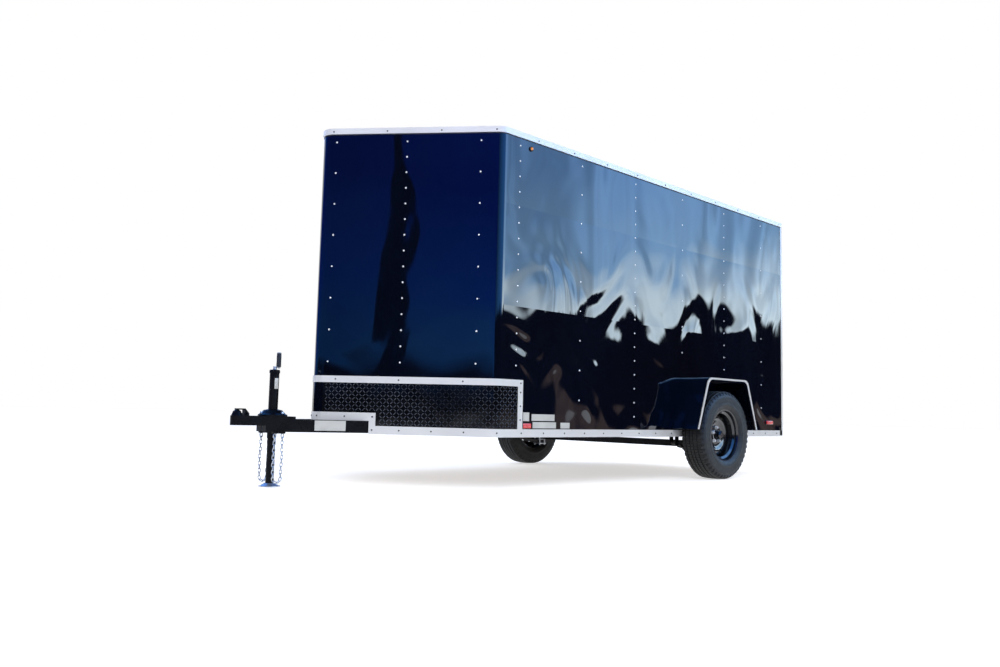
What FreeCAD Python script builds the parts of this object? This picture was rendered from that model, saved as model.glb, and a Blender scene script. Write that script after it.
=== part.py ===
"""Enclosed cargo trailer with a V nose, one axle, a rear ramp door and a kerb-side door.

Millimetres, +Z up, the coupler towards -Y and the ramp door towards +Y.
The origin is at the centre of the overall box, on the ground.
Left is +X, the road side; right is -X, the kerb side, which has the door.
"""
import FreeCAD, Part
import math
import os

import Sketcher

doc = FreeCAD.newDocument("EnclosedTrailer")
sheet = doc.addObject("Spreadsheet::Sheet", "Sizes")
nodes = {}


class Size:
    """A number that also carries the spreadsheet expression it comes from."""

    def __init__(self, value, text):
        self.value = float(value)
        self.text = text

    def __add__(self, other):
        other = size(other)
        return Size(self.value + other.value, f"({self.text} + {other.text})")

    def __sub__(self, other):
        other = size(other)
        return Size(self.value - other.value, f"({self.text} - {other.text})")

    def __mul__(self, other):
        other = size(other)
        return Size(self.value * other.value, f"({self.text} * {other.text})")

    def __truediv__(self, other):
        other = size(other)
        return Size(self.value / other.value, f"({self.text} / {other.text})")

    def __neg__(self):
        return size(0) - self

    __radd__ = __add__
    __rmul__ = __mul__

    def __rsub__(self, other):
        return size(other) - self


def size(number):
    """Any number as a Size."""
    return number if isinstance(number, Size) else Size(number, f"({number})")


def root(number):
    return Size(math.sqrt(number.value), f"sqrt({number.text})")


def tangent(angle):
    return Size(math.tan(math.radians(angle.value)), f"tan({angle.text} * 1 deg)")


def cosine(angle):
    return Size(math.cos(math.radians(angle.value)), f"cos({angle.text} * 1 deg)")


def setting(name, value):
    """One driving dimension: a row of the sheet, and a Size bound to its alias."""
    setting.row += 1
    sheet.set(f"A{setting.row}", name)
    sheet.set(f"B{setting.row}", str(value))
    sheet.setAlias(f"B{setting.row}", name)
    return Size(value, f"Sizes.{name}")


setting.row = 0

# Load box and its V nose
box_length = setting("box_length", 3581)
box_width = setting("box_width", 1829)
nose_depth = setting("nose_depth", 754)
corner_radius = setting("corner_radius", 75)
nose_radius = setting("nose_radius", 90)
wall_thickness = setting("wall_thickness", 38)
wall_top = setting("wall_top", 2250)
skin_thickness = setting("skin_thickness", 3)
cap_height = setting("cap_height", 38)
cap_width = setting("cap_width", 46)
cap_overhang = setting("cap_overhang", 6)
roof_thickness = setting("roof_thickness", 30)
roof_crown = setting("roof_crown", 22)
seam = setting("seam", 0.3)

# Frame, floor and tongue
frame_bottom = setting("frame_bottom", 330)
frame_height = setting("frame_height", 76)
rail_width = setting("rail_width", 51)
crossmember_width = setting("crossmember_width", 38)
crossmember_height = setting("crossmember_height", 51)
deck_thickness = setting("deck_thickness", 19)
tongue_angle = setting("tongue_angle", 22)
coupler_reach = setting("coupler_reach", 1285)
jack_reach = setting("jack_reach", 1016)
rear_reach = setting("rear_reach", 70)
member_count = 8

# Trims and stone guard
trim_bottom = setting("trim_bottom", 325)
trim_height = setting("trim_height", 51)
trim_thickness = setting("trim_thickness", 7)
guard_thickness = setting("guard_thickness", 3)
guard_top = setting("guard_top", 643)
guard_reach = setting("guard_reach", 172)
guard_trim_width = setting("guard_trim_width", 42)
notch_gap = setting("notch_gap", 4)

# Rear frame and ramp door
post_width = setting("post_width", 63)
post_depth = setting("post_depth", 64)
header_height = setting("header_height", 63)
sill_height = setting("sill_height", 40)
ramp_thickness = setting("ramp_thickness", 44)
door_gap = setting("door_gap", 6)
ramp_hinge_radius = setting("ramp_hinge_radius", 11)
ramp_pin_radius = setting("ramp_pin_radius", 6)
ramp_rise = setting("ramp_rise", 9)
ramp_leaf = setting("ramp_leaf", 4)
ramp_leaf_height = setting("ramp_leaf_height", 60)
ramp_leaf_offset = setting("ramp_leaf_offset", 7)
barrel_gap = setting("barrel_gap", 3)
barrel_count = 9
lock_bar_radius = setting("lock_bar_radius", 11)
bar_inset = setting("bar_inset", 60)
bar_start = setting("bar_start", 70)
bar_end = setting("bar_end", 20)
bracket_width = setting("bracket_width", 60)
bracket_height = setting("bracket_height", 40)
bracket_wall = setting("bracket_wall", 14)
lock_handle_length = setting("lock_handle_length", 300)
lock_handle_thickness = setting("lock_handle_thickness", 12)
lock_handle_height = setting("lock_handle_height", 30)
hasp_width = setting("hasp_width", 50)
hasp_depth = setting("hasp_depth", 26)

# Kerb-side door
side_door_front = setting("side_door_front", 300)
side_door_width = setting("side_door_width", 812)
side_door_bottom = setting("side_door_bottom", 440)
side_door_height = setting("side_door_height", 1676)
door_frame_width = setting("door_frame_width", 40)
hinge_leaf = setting("hinge_leaf", 4)
hinge_radius = setting("hinge_radius", 9)
hinge_pin_radius = setting("hinge_pin_radius", 5)
hinge_length = setting("hinge_length", 100)
hinge_reach = setting("hinge_reach", 34)
door_sill = setting("door_sill", 10)
latch_base = setting("latch_base", 6)
latch_depth = setting("latch_depth", 20)
latch_bottom = setting("latch_bottom", 1120)
latch_height = setting("latch_height", 170)
latch_plate_width = setting("latch_plate_width", 70)
latch_plate_inset = setting("latch_plate_inset", 30)
latch_lever_margin = setting("latch_lever_margin", 22)
latch_lever_end = setting("latch_lever_end", 20)

# Wheels, axle and springs
wheel_radius = setting("wheel_radius", 343)
tyre_width = setting("tyre_width", 205)
rim_radius = setting("rim_radius", 192)
rim_width = setting("rim_width", 152)
tyre_gap = setting("tyre_gap", 20)
wheel_reach = setting("wheel_reach", 2266)
axle_drop = setting("axle_drop", 79)
beam_size = setting("beam_size", 51)
arm_half = setting("arm_half", 38)
spindle_end = setting("spindle_end", 40)
tyre_wall = setting("tyre_wall", 12)
tyre_bead = setting("tyre_bead", 16)
tread_thickness = setting("tread_thickness", 18)
tyre_bulge = setting("tyre_bulge", 60)
tyre_shoulder = setting("tyre_shoulder", 26)
crown_drop = setting("crown_drop", 5)
arm_clearance = setting("arm_clearance", 5)
arm_thickness = setting("arm_thickness", 20)
spindle_radius = setting("spindle_radius", 18)
running_gap = setting("running_gap", 0.05)
spring_half = setting("spring_half", 330)
spring_inset = setting("spring_inset", 12)
hanger_sheet = setting("hanger_sheet", 6)
hanger_half = setting("hanger_half", 22)
hanger_drop = setting("hanger_drop", 20)
seat_half = setting("seat_half", 30)
clamp_half = setting("clamp_half", 45)
tie_half = setting("tie_half", 40)
tie_thickness = setting("tie_thickness", 8)
u_bolt_radius = setting("u_bolt_radius", 6)
u_bolt_x = setting("u_bolt_x", 31)
u_bolt_y = setting("u_bolt_y", 33)
u_bolt_end = setting("u_bolt_end", 18)
leaf_count = 4
leaf_shortening = 0.22
spring_width = setting("spring_width", 44)
leaf_thickness = setting("leaf_thickness", 8)
seat_thickness = setting("seat_thickness", 6)
seat_gap = setting("seat_gap", 0.8)
eye_height = setting("eye_height", 275)
eye_radius = setting("eye_radius", 14)

# Fenders
fender_top = setting("fender_top", 782)
fender_bottom = setting("fender_bottom", 389)
fender_top_half = setting("fender_top_half", 287)
fender_bottom_half = setting("fender_bottom_half", 430)
fender_sheet = setting("fender_sheet", 3)
fender_lip = setting("fender_lip", 35)
fender_clearance = setting("fender_clearance", 17)

# Jack, coupler and safety chains
jack_radius = setting("jack_radius", 28.5)
jack_top = setting("jack_top", 704)
jack_tube_bottom = setting("jack_tube_bottom", 290)
jack_leg_radius = setting("jack_leg_radius", 25)
jack_foot_radius = setting("jack_foot_radius", 66)
jack_foot_height = setting("jack_foot_height", 22)
jack_flange_radius = setting("jack_flange_radius", 88)
jack_dome = setting("jack_dome", 36)
jack_cap = setting("jack_cap", 12)
jack_rise = setting("jack_rise", 250)
foot_clearance = setting("foot_clearance", 8)
crank_throw = setting("crank_throw", 110)
crank_turn = setting("crank_turn", 50)
crank_hub_radius = setting("crank_hub_radius", 11)
crank_hub_height = setting("crank_hub_height", 22)
crank_arm_half = setting("crank_arm_half", 8)
crank_arm_thickness = setting("crank_arm_thickness", 8)
crank_rise = setting("crank_rise", 14)
jack_head = setting("jack_head", 18)
jack_head_wall = setting("jack_head_wall", 2)
flange_rim = setting("flange_rim", 8)
flange_slope = setting("flange_slope", 14)
flange_collar = setting("flange_collar", 6)
foot_sheet = setting("foot_sheet", 6)
foot_edge = setting("foot_edge", 8)
crank_grip_radius = setting("crank_grip_radius", 12.5)
crank_grip_length = setting("crank_grip_length", 92)
jack_clearance = setting("jack_clearance", 4)
ball_socket_radius = setting("ball_socket_radius", 26)
ball_skirt = setting("ball_skirt", 24)
coupler_wall = setting("coupler_wall", 11)
coupler_rise = setting("coupler_rise", 37)
coupler_height = setting("coupler_height", 57)
coupler_hump = setting("coupler_hump", 34)
dome_step = setting("dome_step", 4)
latch_pin_radius = setting("latch_pin_radius", 6)
latch_pin_half = setting("latch_pin_half", 37)
latch_pin_back = setting("latch_pin_back", 18)
latch_pin_rise = setting("latch_pin_rise", 12)
latch_width = setting("latch_width", 34)
latch_gap = setting("latch_gap", 4)
latch_run = setting("latch_run", 30)
latch_heel = setting("latch_heel", 14)
latch_sheet = setting("latch_sheet", 8)
chain_width = setting("chain_width", 22)
chain_x = setting("chain_x", 84)
anchor_height = setting("anchor_height", 10)
anchor_half = setting("anchor_half", 40)
anchor_inner = setting("anchor_inner", 13)
anchor_outer = setting("anchor_outer", 9)

# Lights
tail_light_width = setting("tail_light_width", 40)
tail_light_inset = setting("tail_light_inset", 12)
tail_light_depth = setting("tail_light_depth", 22)
tail_light_bottom = setting("tail_light_bottom", 700)
tail_light_height = setting("tail_light_height", 200)
marker_depth = setting("marker_depth", 18)
marker_reach = setting("marker_reach", 233)
marker_width = setting("marker_width", 34)
marker_bottom = setting("marker_bottom", 2180)
rear_marker_reach = setting("rear_marker_reach", 200)
rear_marker_width = setting("rear_marker_width", 110)
rear_marker_bottom = setting("rear_marker_bottom", 426)
rear_marker_height = setting("rear_marker_height", 38)
doc.recompute()

# Places along the trailer, worked out from the driving dimensions
overall_length = coupler_reach + box_length + rear_reach
corner_y = coupler_reach - overall_length / 2
rear_y = corner_y + box_length
jack_y = corner_y - jack_reach
coupler_y = corner_y - coupler_reach
axle_y = corner_y + wheel_reach
side_x = box_width / 2
inside_x = side_x - wall_thickness
rail_out = side_x - skin_thickness
rail_in = rail_out - rail_width
frame_top = frame_bottom + frame_height
deck_top = frame_top + deck_thickness
cap_top = wall_top + cap_height
wheel_x = side_x + tyre_gap + tyre_width / 2
beam_z = wheel_radius - axle_drop
tongue_slope = tangent(tongue_angle)
tongue_half = rail_width / 2 / cosine(tongue_angle)
tongue_x = jack_radius + jack_clearance + tongue_half

# The V nose in plan: each face runs from the side's corner to the middle line
face_length = root(side_x * side_x + nose_depth * nose_depth)
along_x = side_x / face_length
along_y = nose_depth / face_length
corner_centre = (side_x - corner_radius, corner_y + corner_radius * (1 - along_y) / along_x)
nose_centre_y = corner_y - nose_depth + nose_radius / along_x
corner_end = corner_radius * (1 - along_y) / along_x
nose_start = face_length - nose_radius * along_y / along_x
tongue_out_at_corner = tongue_x + tongue_half + jack_reach * tongue_slope


def bind(thing, prop, value):
    thing.setExpression(prop, size(value).text)


def place(thing, x=0, y=0, z=0):
    bind(thing, "Placement.Base.x", x)
    bind(thing, "Placement.Base.y", y)
    bind(thing, "Placement.Base.z", z)
    return thing


def keep(name, thing):
    """Name a finished sub-part; its label names its file."""
    thing.Label = name
    nodes[name] = thing
    return thing


def box(name, x, y, z):
    """A block between two places on each axis."""
    block = doc.addObject("Part::Box", name)
    bind(block, "Length", x[1] - x[0])
    bind(block, "Width", y[1] - y[0])
    bind(block, "Height", z[1] - z[0])
    return place(block, x[0], y[0], z[0])


def cylinder(name, radius, length, start, axis="z"):
    """A round bar from its start, along one of the axes."""
    bar = doc.addObject("Part::Cylinder", name)
    bind(bar, "Radius", radius)
    bind(bar, "Height", length)
    turn = {"x": ((0, 1, 0), 90), "y": ((1, 0, 0), -90), "z": ((0, 0, 1), 0)}[axis]
    bar.Placement.Rotation = FreeCAD.Rotation(FreeCAD.Vector(*turn[0]), turn[1])
    return place(bar, *start)


def fuse(name, things):
    joined = doc.addObject("Part::MultiFuse", name)
    joined.Shapes = things
    return joined


def cut(name, base, tool):
    rest = doc.addObject("Part::Cut", name)
    rest.Base = base
    rest.Tool = tool
    return rest


def group(name, things):
    """Like pieces that don't touch, in one node."""
    pieces = doc.addObject("Part::Compound", name)
    pieces.Links = things
    return pieces


def mirror(name, thing):
    """The same piece on the other side of the middle plane."""
    other = doc.addObject("Part::Mirroring", name)
    other.Source = thing
    other.Normal = FreeCAD.Vector(1, 0, 0)
    return other


def pair(name, thing):
    """A piece and its mirror image, in one node."""
    return group(name, [thing, mirror(name + "_other", thing)])


def arc_centre(start, end, radius):
    """Centre of an arc that bends left where the radius is positive, else right."""
    half = (end - start) / 2
    left = FreeCAD.Vector(-half.y, half.x, 0).normalize()
    rise = math.sqrt(max(radius * radius - half.Length ** 2, 0))
    return start + half + left * math.copysign(rise, radius)


def draw(body, name, plane, outline):
    """A closed sketch with every corner and radius bound to the sheet.

    A corner is (x, y), or (x, y, radius) where an arc leaves it for the next one.
    """
    sketch = body.newObject("Sketcher::SketchObject", name)
    origin = [part for part in body.Origin.OriginFeatures if part.Role == plane][0]
    sketch.AttachmentSupport = [(origin, "")]
    sketch.MapMode = "FlatFace"
    corners = [tuple(size(number) for number in corner) for corner in outline]
    points = [FreeCAD.Vector(corner[0].value, corner[1].value, 0) for corner in corners]
    ends = []
    for index, corner in enumerate(corners):
        start = points[index]
        end = points[(index + 1) % len(points)]
        if len(corner) == 2:
            sketch.addGeometry(Part.LineSegment(start, end))
            ends.append((1, 2))
            continue
        radius = corner[2].value
        centre = arc_centre(start, end, radius)
        first, last = (start, end) if radius > 0 else (end, start)
        circle = Part.Circle(centre, FreeCAD.Vector(0, 0, 1), abs(radius))
        angles = [math.atan2(p.y - centre.y, p.x - centre.x) for p in (first, last)]
        sketch.addGeometry(Part.ArcOfCircle(circle, angles[0], angles[1]))
        ends.append((1, 2) if radius > 0 else (2, 1))
    for index, corner in enumerate(corners):
        following = (index + 1) % len(corners)
        join = ("Coincident", index, ends[index][1], following, ends[following][0])
        sketch.addConstraint(Sketcher.Constraint(*join))
        for kind, number in zip(("DistanceX", "DistanceY"), corner):
            rule = Sketcher.Constraint(kind, index, ends[index][0], number.value)
            bind(sketch, f"Constraints[{sketch.addConstraint(rule)}]", number)
        if len(corner) == 3:
            radius = corner[2] if corner[2].value > 0 else -corner[2]
            rule = Sketcher.Constraint("Radius", index, radius.value)
            bind(sketch, f"Constraints[{sketch.addConstraint(rule)}]", radius)
    return sketch


def padded(name, plane, outline, depth, at=(0, 0, 0)):
    """An outline padded along +X, +Y or +Z, from the plane through its place."""
    body = doc.addObject("PartDesign::Body", name)
    pad = body.newObject("PartDesign::Pad", name + "_pad")
    pad.Profile = draw(body, name + "_outline", plane, outline)
    pad.Reversed = plane == "XZ_Plane"
    bind(pad, "Length", depth)
    return place(body, *at)


def turned(name, outline, at=(0, 0, 0)):
    """An outline of (along the axle, radius) turned about the X axis."""
    body = doc.addObject("PartDesign::Body", name)
    sketch = draw(body, name + "_outline", "XY_Plane", outline)
    spin = body.newObject("PartDesign::Revolution", name + "_spin")
    spin.Profile = sketch
    spin.ReferenceAxis = (sketch, ["H_Axis"])
    spin.Angle = 360
    return place(body, *at)


def upright_turned(name, outline, at=(0, 0, 0)):
    """An outline of (radius, height) turned about the Z axis."""
    body = doc.addObject("PartDesign::Body", name)
    sketch = draw(body, name + "_outline", "XZ_Plane", outline)
    spin = body.newObject("PartDesign::Revolution", name + "_spin")
    spin.Profile = sketch
    spin.ReferenceAxis = (sketch, ["V_Axis"])
    spin.Angle = 360
    return place(body, *at)


def face_point(distance, depth):
    """A place on the left nose face: distance from the corner, depth inwards."""
    x = side_x - distance * along_x - depth * along_y
    y = corner_y - distance * along_y + depth * along_x
    return x, y


def tongue_crossing(depth):
    """Where a tongue tube's outer side crosses a nose face, as a distance from the corner."""
    across = side_x - tongue_out_at_corner - depth * (along_y + along_x * tongue_slope)
    return across / (along_x - along_y * tongue_slope)


def band_edge(depth, start, end):
    """One edge of a strip that follows the left half of the box in plan."""
    edge = []
    if start[0] == "side":
        edge.append((side_x - depth, start[1]))
    if start[0] in ("side", "corner"):
        edge.append((side_x - depth, corner_centre[1], -(corner_radius - depth)))
        edge.append(face_point(corner_end, depth))
    if start[0] == "face":
        edge.append(face_point(start[1], depth))
    if end[0] == "face":
        edge.append(face_point(end[1], depth))
    if end[0] == "middle":
        edge.append(face_point(nose_start, depth) + (-(nose_radius - depth),))
        edge.append((size(0), nose_centre_y - (nose_radius - depth)))
    return edge


def band(name, depths, heights, start, end):
    """A strip of the box's plan outline, between two depths and two heights."""
    outer = band_edge(depths[0], start, end)
    inner = band_edge(depths[1], start, end)
    back = [corner[:2] for corner in reversed(inner)]
    for index, corner in enumerate(reversed(inner)):
        if len(corner) == 3:
            back[index - 1] = back[index - 1] + (-corner[2],)
    outline = outer + back
    return padded(name, "XY_Plane", outline, heights[1] - heights[0], (0, 0, heights[0]))


def make_frame():
    """Ladder frame: rails, crossmembers, sill, nose rails and tongue tubes."""
    heights = (frame_bottom, frame_top)
    rail = box("rail", (rail_in, rail_out), (corner_centre[1], rear_y), heights)
    keep("frame_rails", pair("frame_rails", rail))
    front = box("front_member", (-rail_in, rail_in),
                (corner_centre[1], corner_centre[1] + rail_width), heights)
    last_y = rear_y - post_depth - crossmember_width
    first_y = corner_centre[1] + rail_width
    members = [front]
    for index in range(member_count):
        y = first_y + (last_y - first_y) * (index + 1) / member_count
        levels = (frame_top - crossmember_height, frame_top)
        members.append(box("member", (-rail_in, rail_in), (y, y + crossmember_width), levels))
    keep("floor_crossmembers", group("floor_crossmembers", members))
    sill = box("sill", (-rail_in, rail_in), (rear_y - rail_width, rear_y),
               (frame_bottom, frame_bottom + sill_height))
    keep("rear_sill", sill)
    depths = (skin_thickness, skin_thickness + rail_width)
    rim = band("nose_rail", depths, heights,
               ("corner",), ("face", tongue_crossing(depths[1]) - notch_gap))
    keep("nose_frame", pair("nose_frame", rim))


def tongue_at(y):
    """Centre of a tongue tube at a place along the trailer."""
    return tongue_x + (y - jack_y) * tongue_slope


def make_tongue():
    """Two tubes that meet at the coupler, back to the front crossmember."""
    front_y = jack_y - (tongue_x - tongue_half) / tongue_slope + notch_gap * 2
    back_y = corner_centre[1]
    outline = [
        (tongue_at(front_y) - tongue_half, front_y),
        (tongue_at(front_y) + tongue_half, front_y),
        (tongue_at(back_y) + tongue_half, back_y),
        (tongue_at(back_y) - tongue_half, back_y),
    ]
    tube = padded("tongue_tube", "XY_Plane", outline, frame_height, (0, 0, frame_bottom))
    keep("tongue_tubes", pair("tongue_tubes", tube))
    return front_y


def make_coupler(tube_front):
    """Ball coupler: a domed socket ahead of the tubes and a plate over them."""
    reach = ball_socket_radius + coupler_wall
    ball_y = coupler_y + reach
    bottom = frame_bottom + coupler_rise
    top = bottom + coupler_height
    half = tongue_at(tube_front) + tongue_half
    outline = [
        (-reach, ball_y, reach), (0, ball_y - reach, reach), (reach, ball_y),
        (half, tube_front), (-half, tube_front),
    ]
    nose = padded("coupler_nose", "XY_Plane", outline, coupler_height, (0, 0, bottom))
    dome = upright_turned("coupler_dome", [
        (0, 0), (reach - dome_step, 0), (reach * 0.62, coupler_hump * 0.75), (reach * 0.3, coupler_hump),
        (0, coupler_hump),
    ], (0, ball_y, top))
    back = jack_y + jack_flange_radius
    wide = tongue_at(back) + tongue_half
    outline = [(-half, tube_front), (half, tube_front), (wide, back), (-wide, back)]
    plate = padded("coupler_plate", "XY_Plane", outline, top - frame_top, (0, 0, frame_top))
    solid = fuse("coupler_solid", [nose, plate, dome])
    skirt = cylinder("socket_skirt", ball_socket_radius, ball_skirt, (0, ball_y, bottom))
    ball = doc.addObject("Part::Sphere", "socket_ball")
    bind(ball, "Radius", ball_socket_radius)
    place(ball, 0, ball_y, bottom + ball_skirt)
    hole = cylinder("jack_hole", jack_radius + 1, top - frame_top, (0, jack_y, frame_top))
    keep("coupler", cut("coupler", solid, fuse("coupler_tools", [skirt, ball, hole])))
    pin = cylinder("latch_pin", latch_pin_radius, latch_pin_half * 2,
                   (-latch_pin_half, ball_y + reach + latch_pin_back, top + latch_pin_rise), "x")
    heel = ball_y + reach + latch_gap
    toe = ball_y - latch_sheet
    crown = top + coupler_hump
    section = [
        (heel, top), (heel, crown), (toe, crown), (toe, crown + latch_sheet),
        (heel + latch_gap, crown + latch_sheet), (heel + latch_run, top + latch_heel),
        (heel + latch_run, top),
    ]
    lever = padded("latch_lever", "YZ_Plane", section, latch_width, (-latch_width / 2, 0, 0))
    keep("coupler_latch", fuse("coupler_latch", [pin, lever]))
    return top


def make_jack(plate_top):
    """Top-wind jack: tube with its flange, crank, and a leg that screws in and out."""
    tube = cylinder("tube", jack_radius, jack_top - jack_tube_bottom, (0, jack_y, jack_tube_bottom))
    collar = jack_radius - seam
    flange = upright_turned("flange", [
        (collar, 0), (jack_flange_radius, 0), (jack_flange_radius, flange_rim),
        (jack_flange_radius - flange_slope, flange_rim * 2), (jack_flange_radius * 0.62, jack_dome),
        (collar, jack_dome + flange_collar),
    ], (0, jack_y, plate_top))
    head = cylinder("head", jack_radius + jack_head_wall, jack_head, (0, jack_y, jack_top - jack_head))
    bore_top = jack_top - jack_cap
    bore = cylinder("bore", jack_leg_radius + seam, bore_top - jack_tube_bottom,
                    (0, jack_y, jack_tube_bottom))
    keep("jack_tube", cut("jack_tube", fuse("jack_solid", [tube, flange, head]), bore))
    hub = cylinder("crank_hub", crank_hub_radius, crank_hub_height, (0, jack_y, jack_top))
    arm = box("crank_arm", (-crank_arm_half, crank_arm_half),
              (-crank_arm_half, crank_throw + crank_arm_half), (0, crank_arm_thickness))
    grip = cylinder("crank_grip", crank_grip_radius, crank_grip_length,
                    (0, crank_throw, crank_arm_thickness))
    swing = fuse("crank_swing", [arm, grip])
    swing.Placement.Rotation = FreeCAD.Rotation(FreeCAD.Vector(0, 0, 1), crank_turn.value)
    place(swing, 0, jack_y, jack_top + crank_rise)
    keep("jack_crank", fuse("jack_crank", [hub, swing]))
    leg_length = bore_top - jack_rise - jack_foot_height - foot_clearance
    keep("jack_leg", cylinder("leg", jack_leg_radius, leg_length, (0, jack_y, jack_foot_height)))
    keep("jack_foot", upright_turned("foot", [
        (0, 0), (jack_foot_radius, 0), (jack_foot_radius, foot_sheet),
        (jack_foot_radius - foot_edge, foot_sheet),
        (jack_leg_radius + foot_sheet, jack_foot_height), (0, jack_foot_height),
    ], (0, jack_y, 0)))


def make_axle():
    """Drop axle: beam, an arm at each end and a spindle that carries the wheel."""
    half_beam = beam_size / 2
    arm_in = side_x + trim_thickness + arm_clearance
    arm_out = arm_in + arm_thickness
    spindle_out = wheel_x + spindle_end
    beam = box("beam", (-arm_in, arm_in), (axle_y - half_beam, axle_y + half_beam),
               (beam_z - half_beam, beam_z + half_beam))
    pieces = [beam]
    for low, start in ((arm_in, arm_in), (-arm_out, -spindle_out)):
        pieces.append(box("arm", (low, low + arm_thickness), (axle_y - arm_half, axle_y + arm_half),
                          (beam_z - half_beam, wheel_radius + arm_half)))
        pieces.append(cylinder("spindle", spindle_radius, spindle_out - arm_in,
                               (start, axle_y, wheel_radius), "x"))
    keep("axle", fuse("axle", pieces))


def make_springs():
    """Leaf springs under the beam, their hangers, and the seats that clamp them."""
    spring_x = rail_out - rail_width / 2 - spring_inset
    spring_in = spring_x - spring_width / 2
    low = beam_z - beam_size / 2
    leaf_top = low - seat_thickness - seat_gap
    sag = eye_height - leaf_top
    radius = (spring_half * spring_half + sag * sag) / (2 * sag)
    leaves = []
    for index in range(leaf_count):
        half = spring_half * (1 - index * leaf_shortening)
        drop = radius - root(radius * radius - half * half)
        end_z = leaf_top - leaf_thickness * index + drop
        outline = [
            (-half, end_z, radius), (half, end_z), (half, end_z - leaf_thickness, -radius),
            (-half, end_z - leaf_thickness),
        ]
        leaves.append(padded("leaf", "YZ_Plane", outline, spring_width, (spring_in, axle_y, 0)))
    ends = (axle_y - spring_half, axle_y + spring_half)
    for y in ends:
        leaves.append(cylinder("eye", eye_radius, spring_width, (spring_in, y, eye_height), "x"))
    keep("leaf_springs", pair("leaf_springs", fuse("leaf_spring", leaves)))
    hangers = []
    for y in ends:
        for x in (spring_in - hanger_sheet, spring_in + spring_width):
            ear = box("hanger_ear", (x, x + hanger_sheet), (y - hanger_half, y + hanger_half),
                      (eye_height - hanger_drop, frame_bottom))
            hangers += [ear, mirror("hanger_other", ear)]
    keep("spring_hangers", group("spring_hangers", hangers))
    clamp_y = (axle_y - clamp_half, axle_y + clamp_half)
    stack_bottom = leaf_top - leaf_thickness * leaf_count
    beam_top = beam_z + beam_size / 2
    clamp = [
        box("seat", (spring_x - seat_half, spring_x + seat_half), clamp_y, (low - seat_thickness, low)),
        box("tie_plate", (spring_x - tie_half, spring_x + tie_half), clamp_y,
            (stack_bottom - tie_thickness, stack_bottom)),
    ]
    bolt_top = beam_top + u_bolt_radius * 2
    bolt_bottom = stack_bottom - u_bolt_end
    bolt_reach = u_bolt_y + u_bolt_radius
    for x in (spring_x - u_bolt_x, spring_x + u_bolt_x):
        for y in (axle_y - u_bolt_y, axle_y + u_bolt_y):
            clamp.append(cylinder("u_bolt", u_bolt_radius, bolt_top - bolt_bottom, (x, y, bolt_bottom)))
        clamp.append(box("u_bolt_top", (x - u_bolt_radius, x + u_bolt_radius),
                         (axle_y - bolt_reach, axle_y + bolt_reach), (beam_top, bolt_top)))
    keep("spring_clamps", pair("spring_clamps", fuse("spring_clamp", clamp)))


def make_floor():
    """Plywood deck over the frame, out to the wall's inner face."""
    inner = band_edge(wall_thickness, ("side", rear_y - post_depth), ("middle",))
    half = padded("deck_half", "XY_Plane", inner + [(0, rear_y - post_depth)],
                  deck_thickness, (0, 0, frame_top))
    keep("floor_deck", fuse("floor_deck", [half, mirror("deck_other", half)]))


def make_walls():
    """Side walls, nose walls and the rounded nose post between them."""
    front = corner_centre[1]
    back = rear_y - post_depth
    section = [
        (inside_x, frame_top), (rail_out, frame_top), (rail_out, frame_bottom),
        (side_x, frame_bottom), (side_x, wall_top), (inside_x, wall_top),
    ]
    wall = padded("left_wall", "XZ_Plane", section, back - front, (0, front, 0))
    keep("left_wall", wall)
    opening = box("doorway", (-side_x - 20, -inside_x + 20),
                  (corner_y + side_door_front - door_gap,
                   corner_y + side_door_front + side_door_width + door_gap),
                  (side_door_bottom - door_gap, side_door_bottom + side_door_height + door_gap))
    keep("right_wall", cut("right_wall", mirror("right_wall_solid", wall), opening))
    nose = band("left_nose_wall", (size(0), wall_thickness), (frame_top, wall_top),
                ("corner",), ("face", nose_start))
    keep("left_nose_wall", nose)
    keep("right_nose_wall", mirror("right_nose_wall", nose))
    post = band("nose_post_half", (size(0), wall_thickness), (frame_top, wall_top),
                ("nose",), ("middle",))
    keep("nose_post", fuse("nose_post", [post, mirror("nose_post_other", post)]))


def make_roof():
    """Crowned roof inside an edge cap that sits on the walls."""
    depths = (-cap_overhang, cap_width - cap_overhang)
    strip = band("cap_half", depths, (wall_top, cap_top), ("side", rear_y), ("middle",))
    rear_cap = box("rear_cap", (-side_x + depths[1], side_x - depths[1]),
                   (rear_y - cap_width, rear_y), (wall_top, cap_top))
    keep("roof_cap", pair("roof_cap", strip))
    keep("rear_cap", rear_cap)
    inner = band_edge(depths[1] + seam, ("side", rear_y - cap_width - seam), ("middle",))
    half = padded("roof_half", "XY_Plane", inner + [(0, rear_y - cap_width - seam)],
                  roof_thickness + roof_crown, (0, 0, wall_top))
    plan = fuse("roof_plan", [half, mirror("roof_other", half)])
    edge = side_x - depths[1]
    radius = (edge * edge + roof_crown * roof_crown) / (2 * roof_crown)
    rise = wall_top + roof_thickness
    section = [(-edge, wall_top), (edge, wall_top), (edge, rise, radius), (-edge, rise)]
    arch = padded("roof_arch", "XZ_Plane", section, box_length + nose_depth,
                  (0, corner_y - nose_depth, 0))
    roof = doc.addObject("Part::Common", "roof")
    roof.Base = plan
    roof.Tool = arch
    keep("roof", roof)


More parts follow.
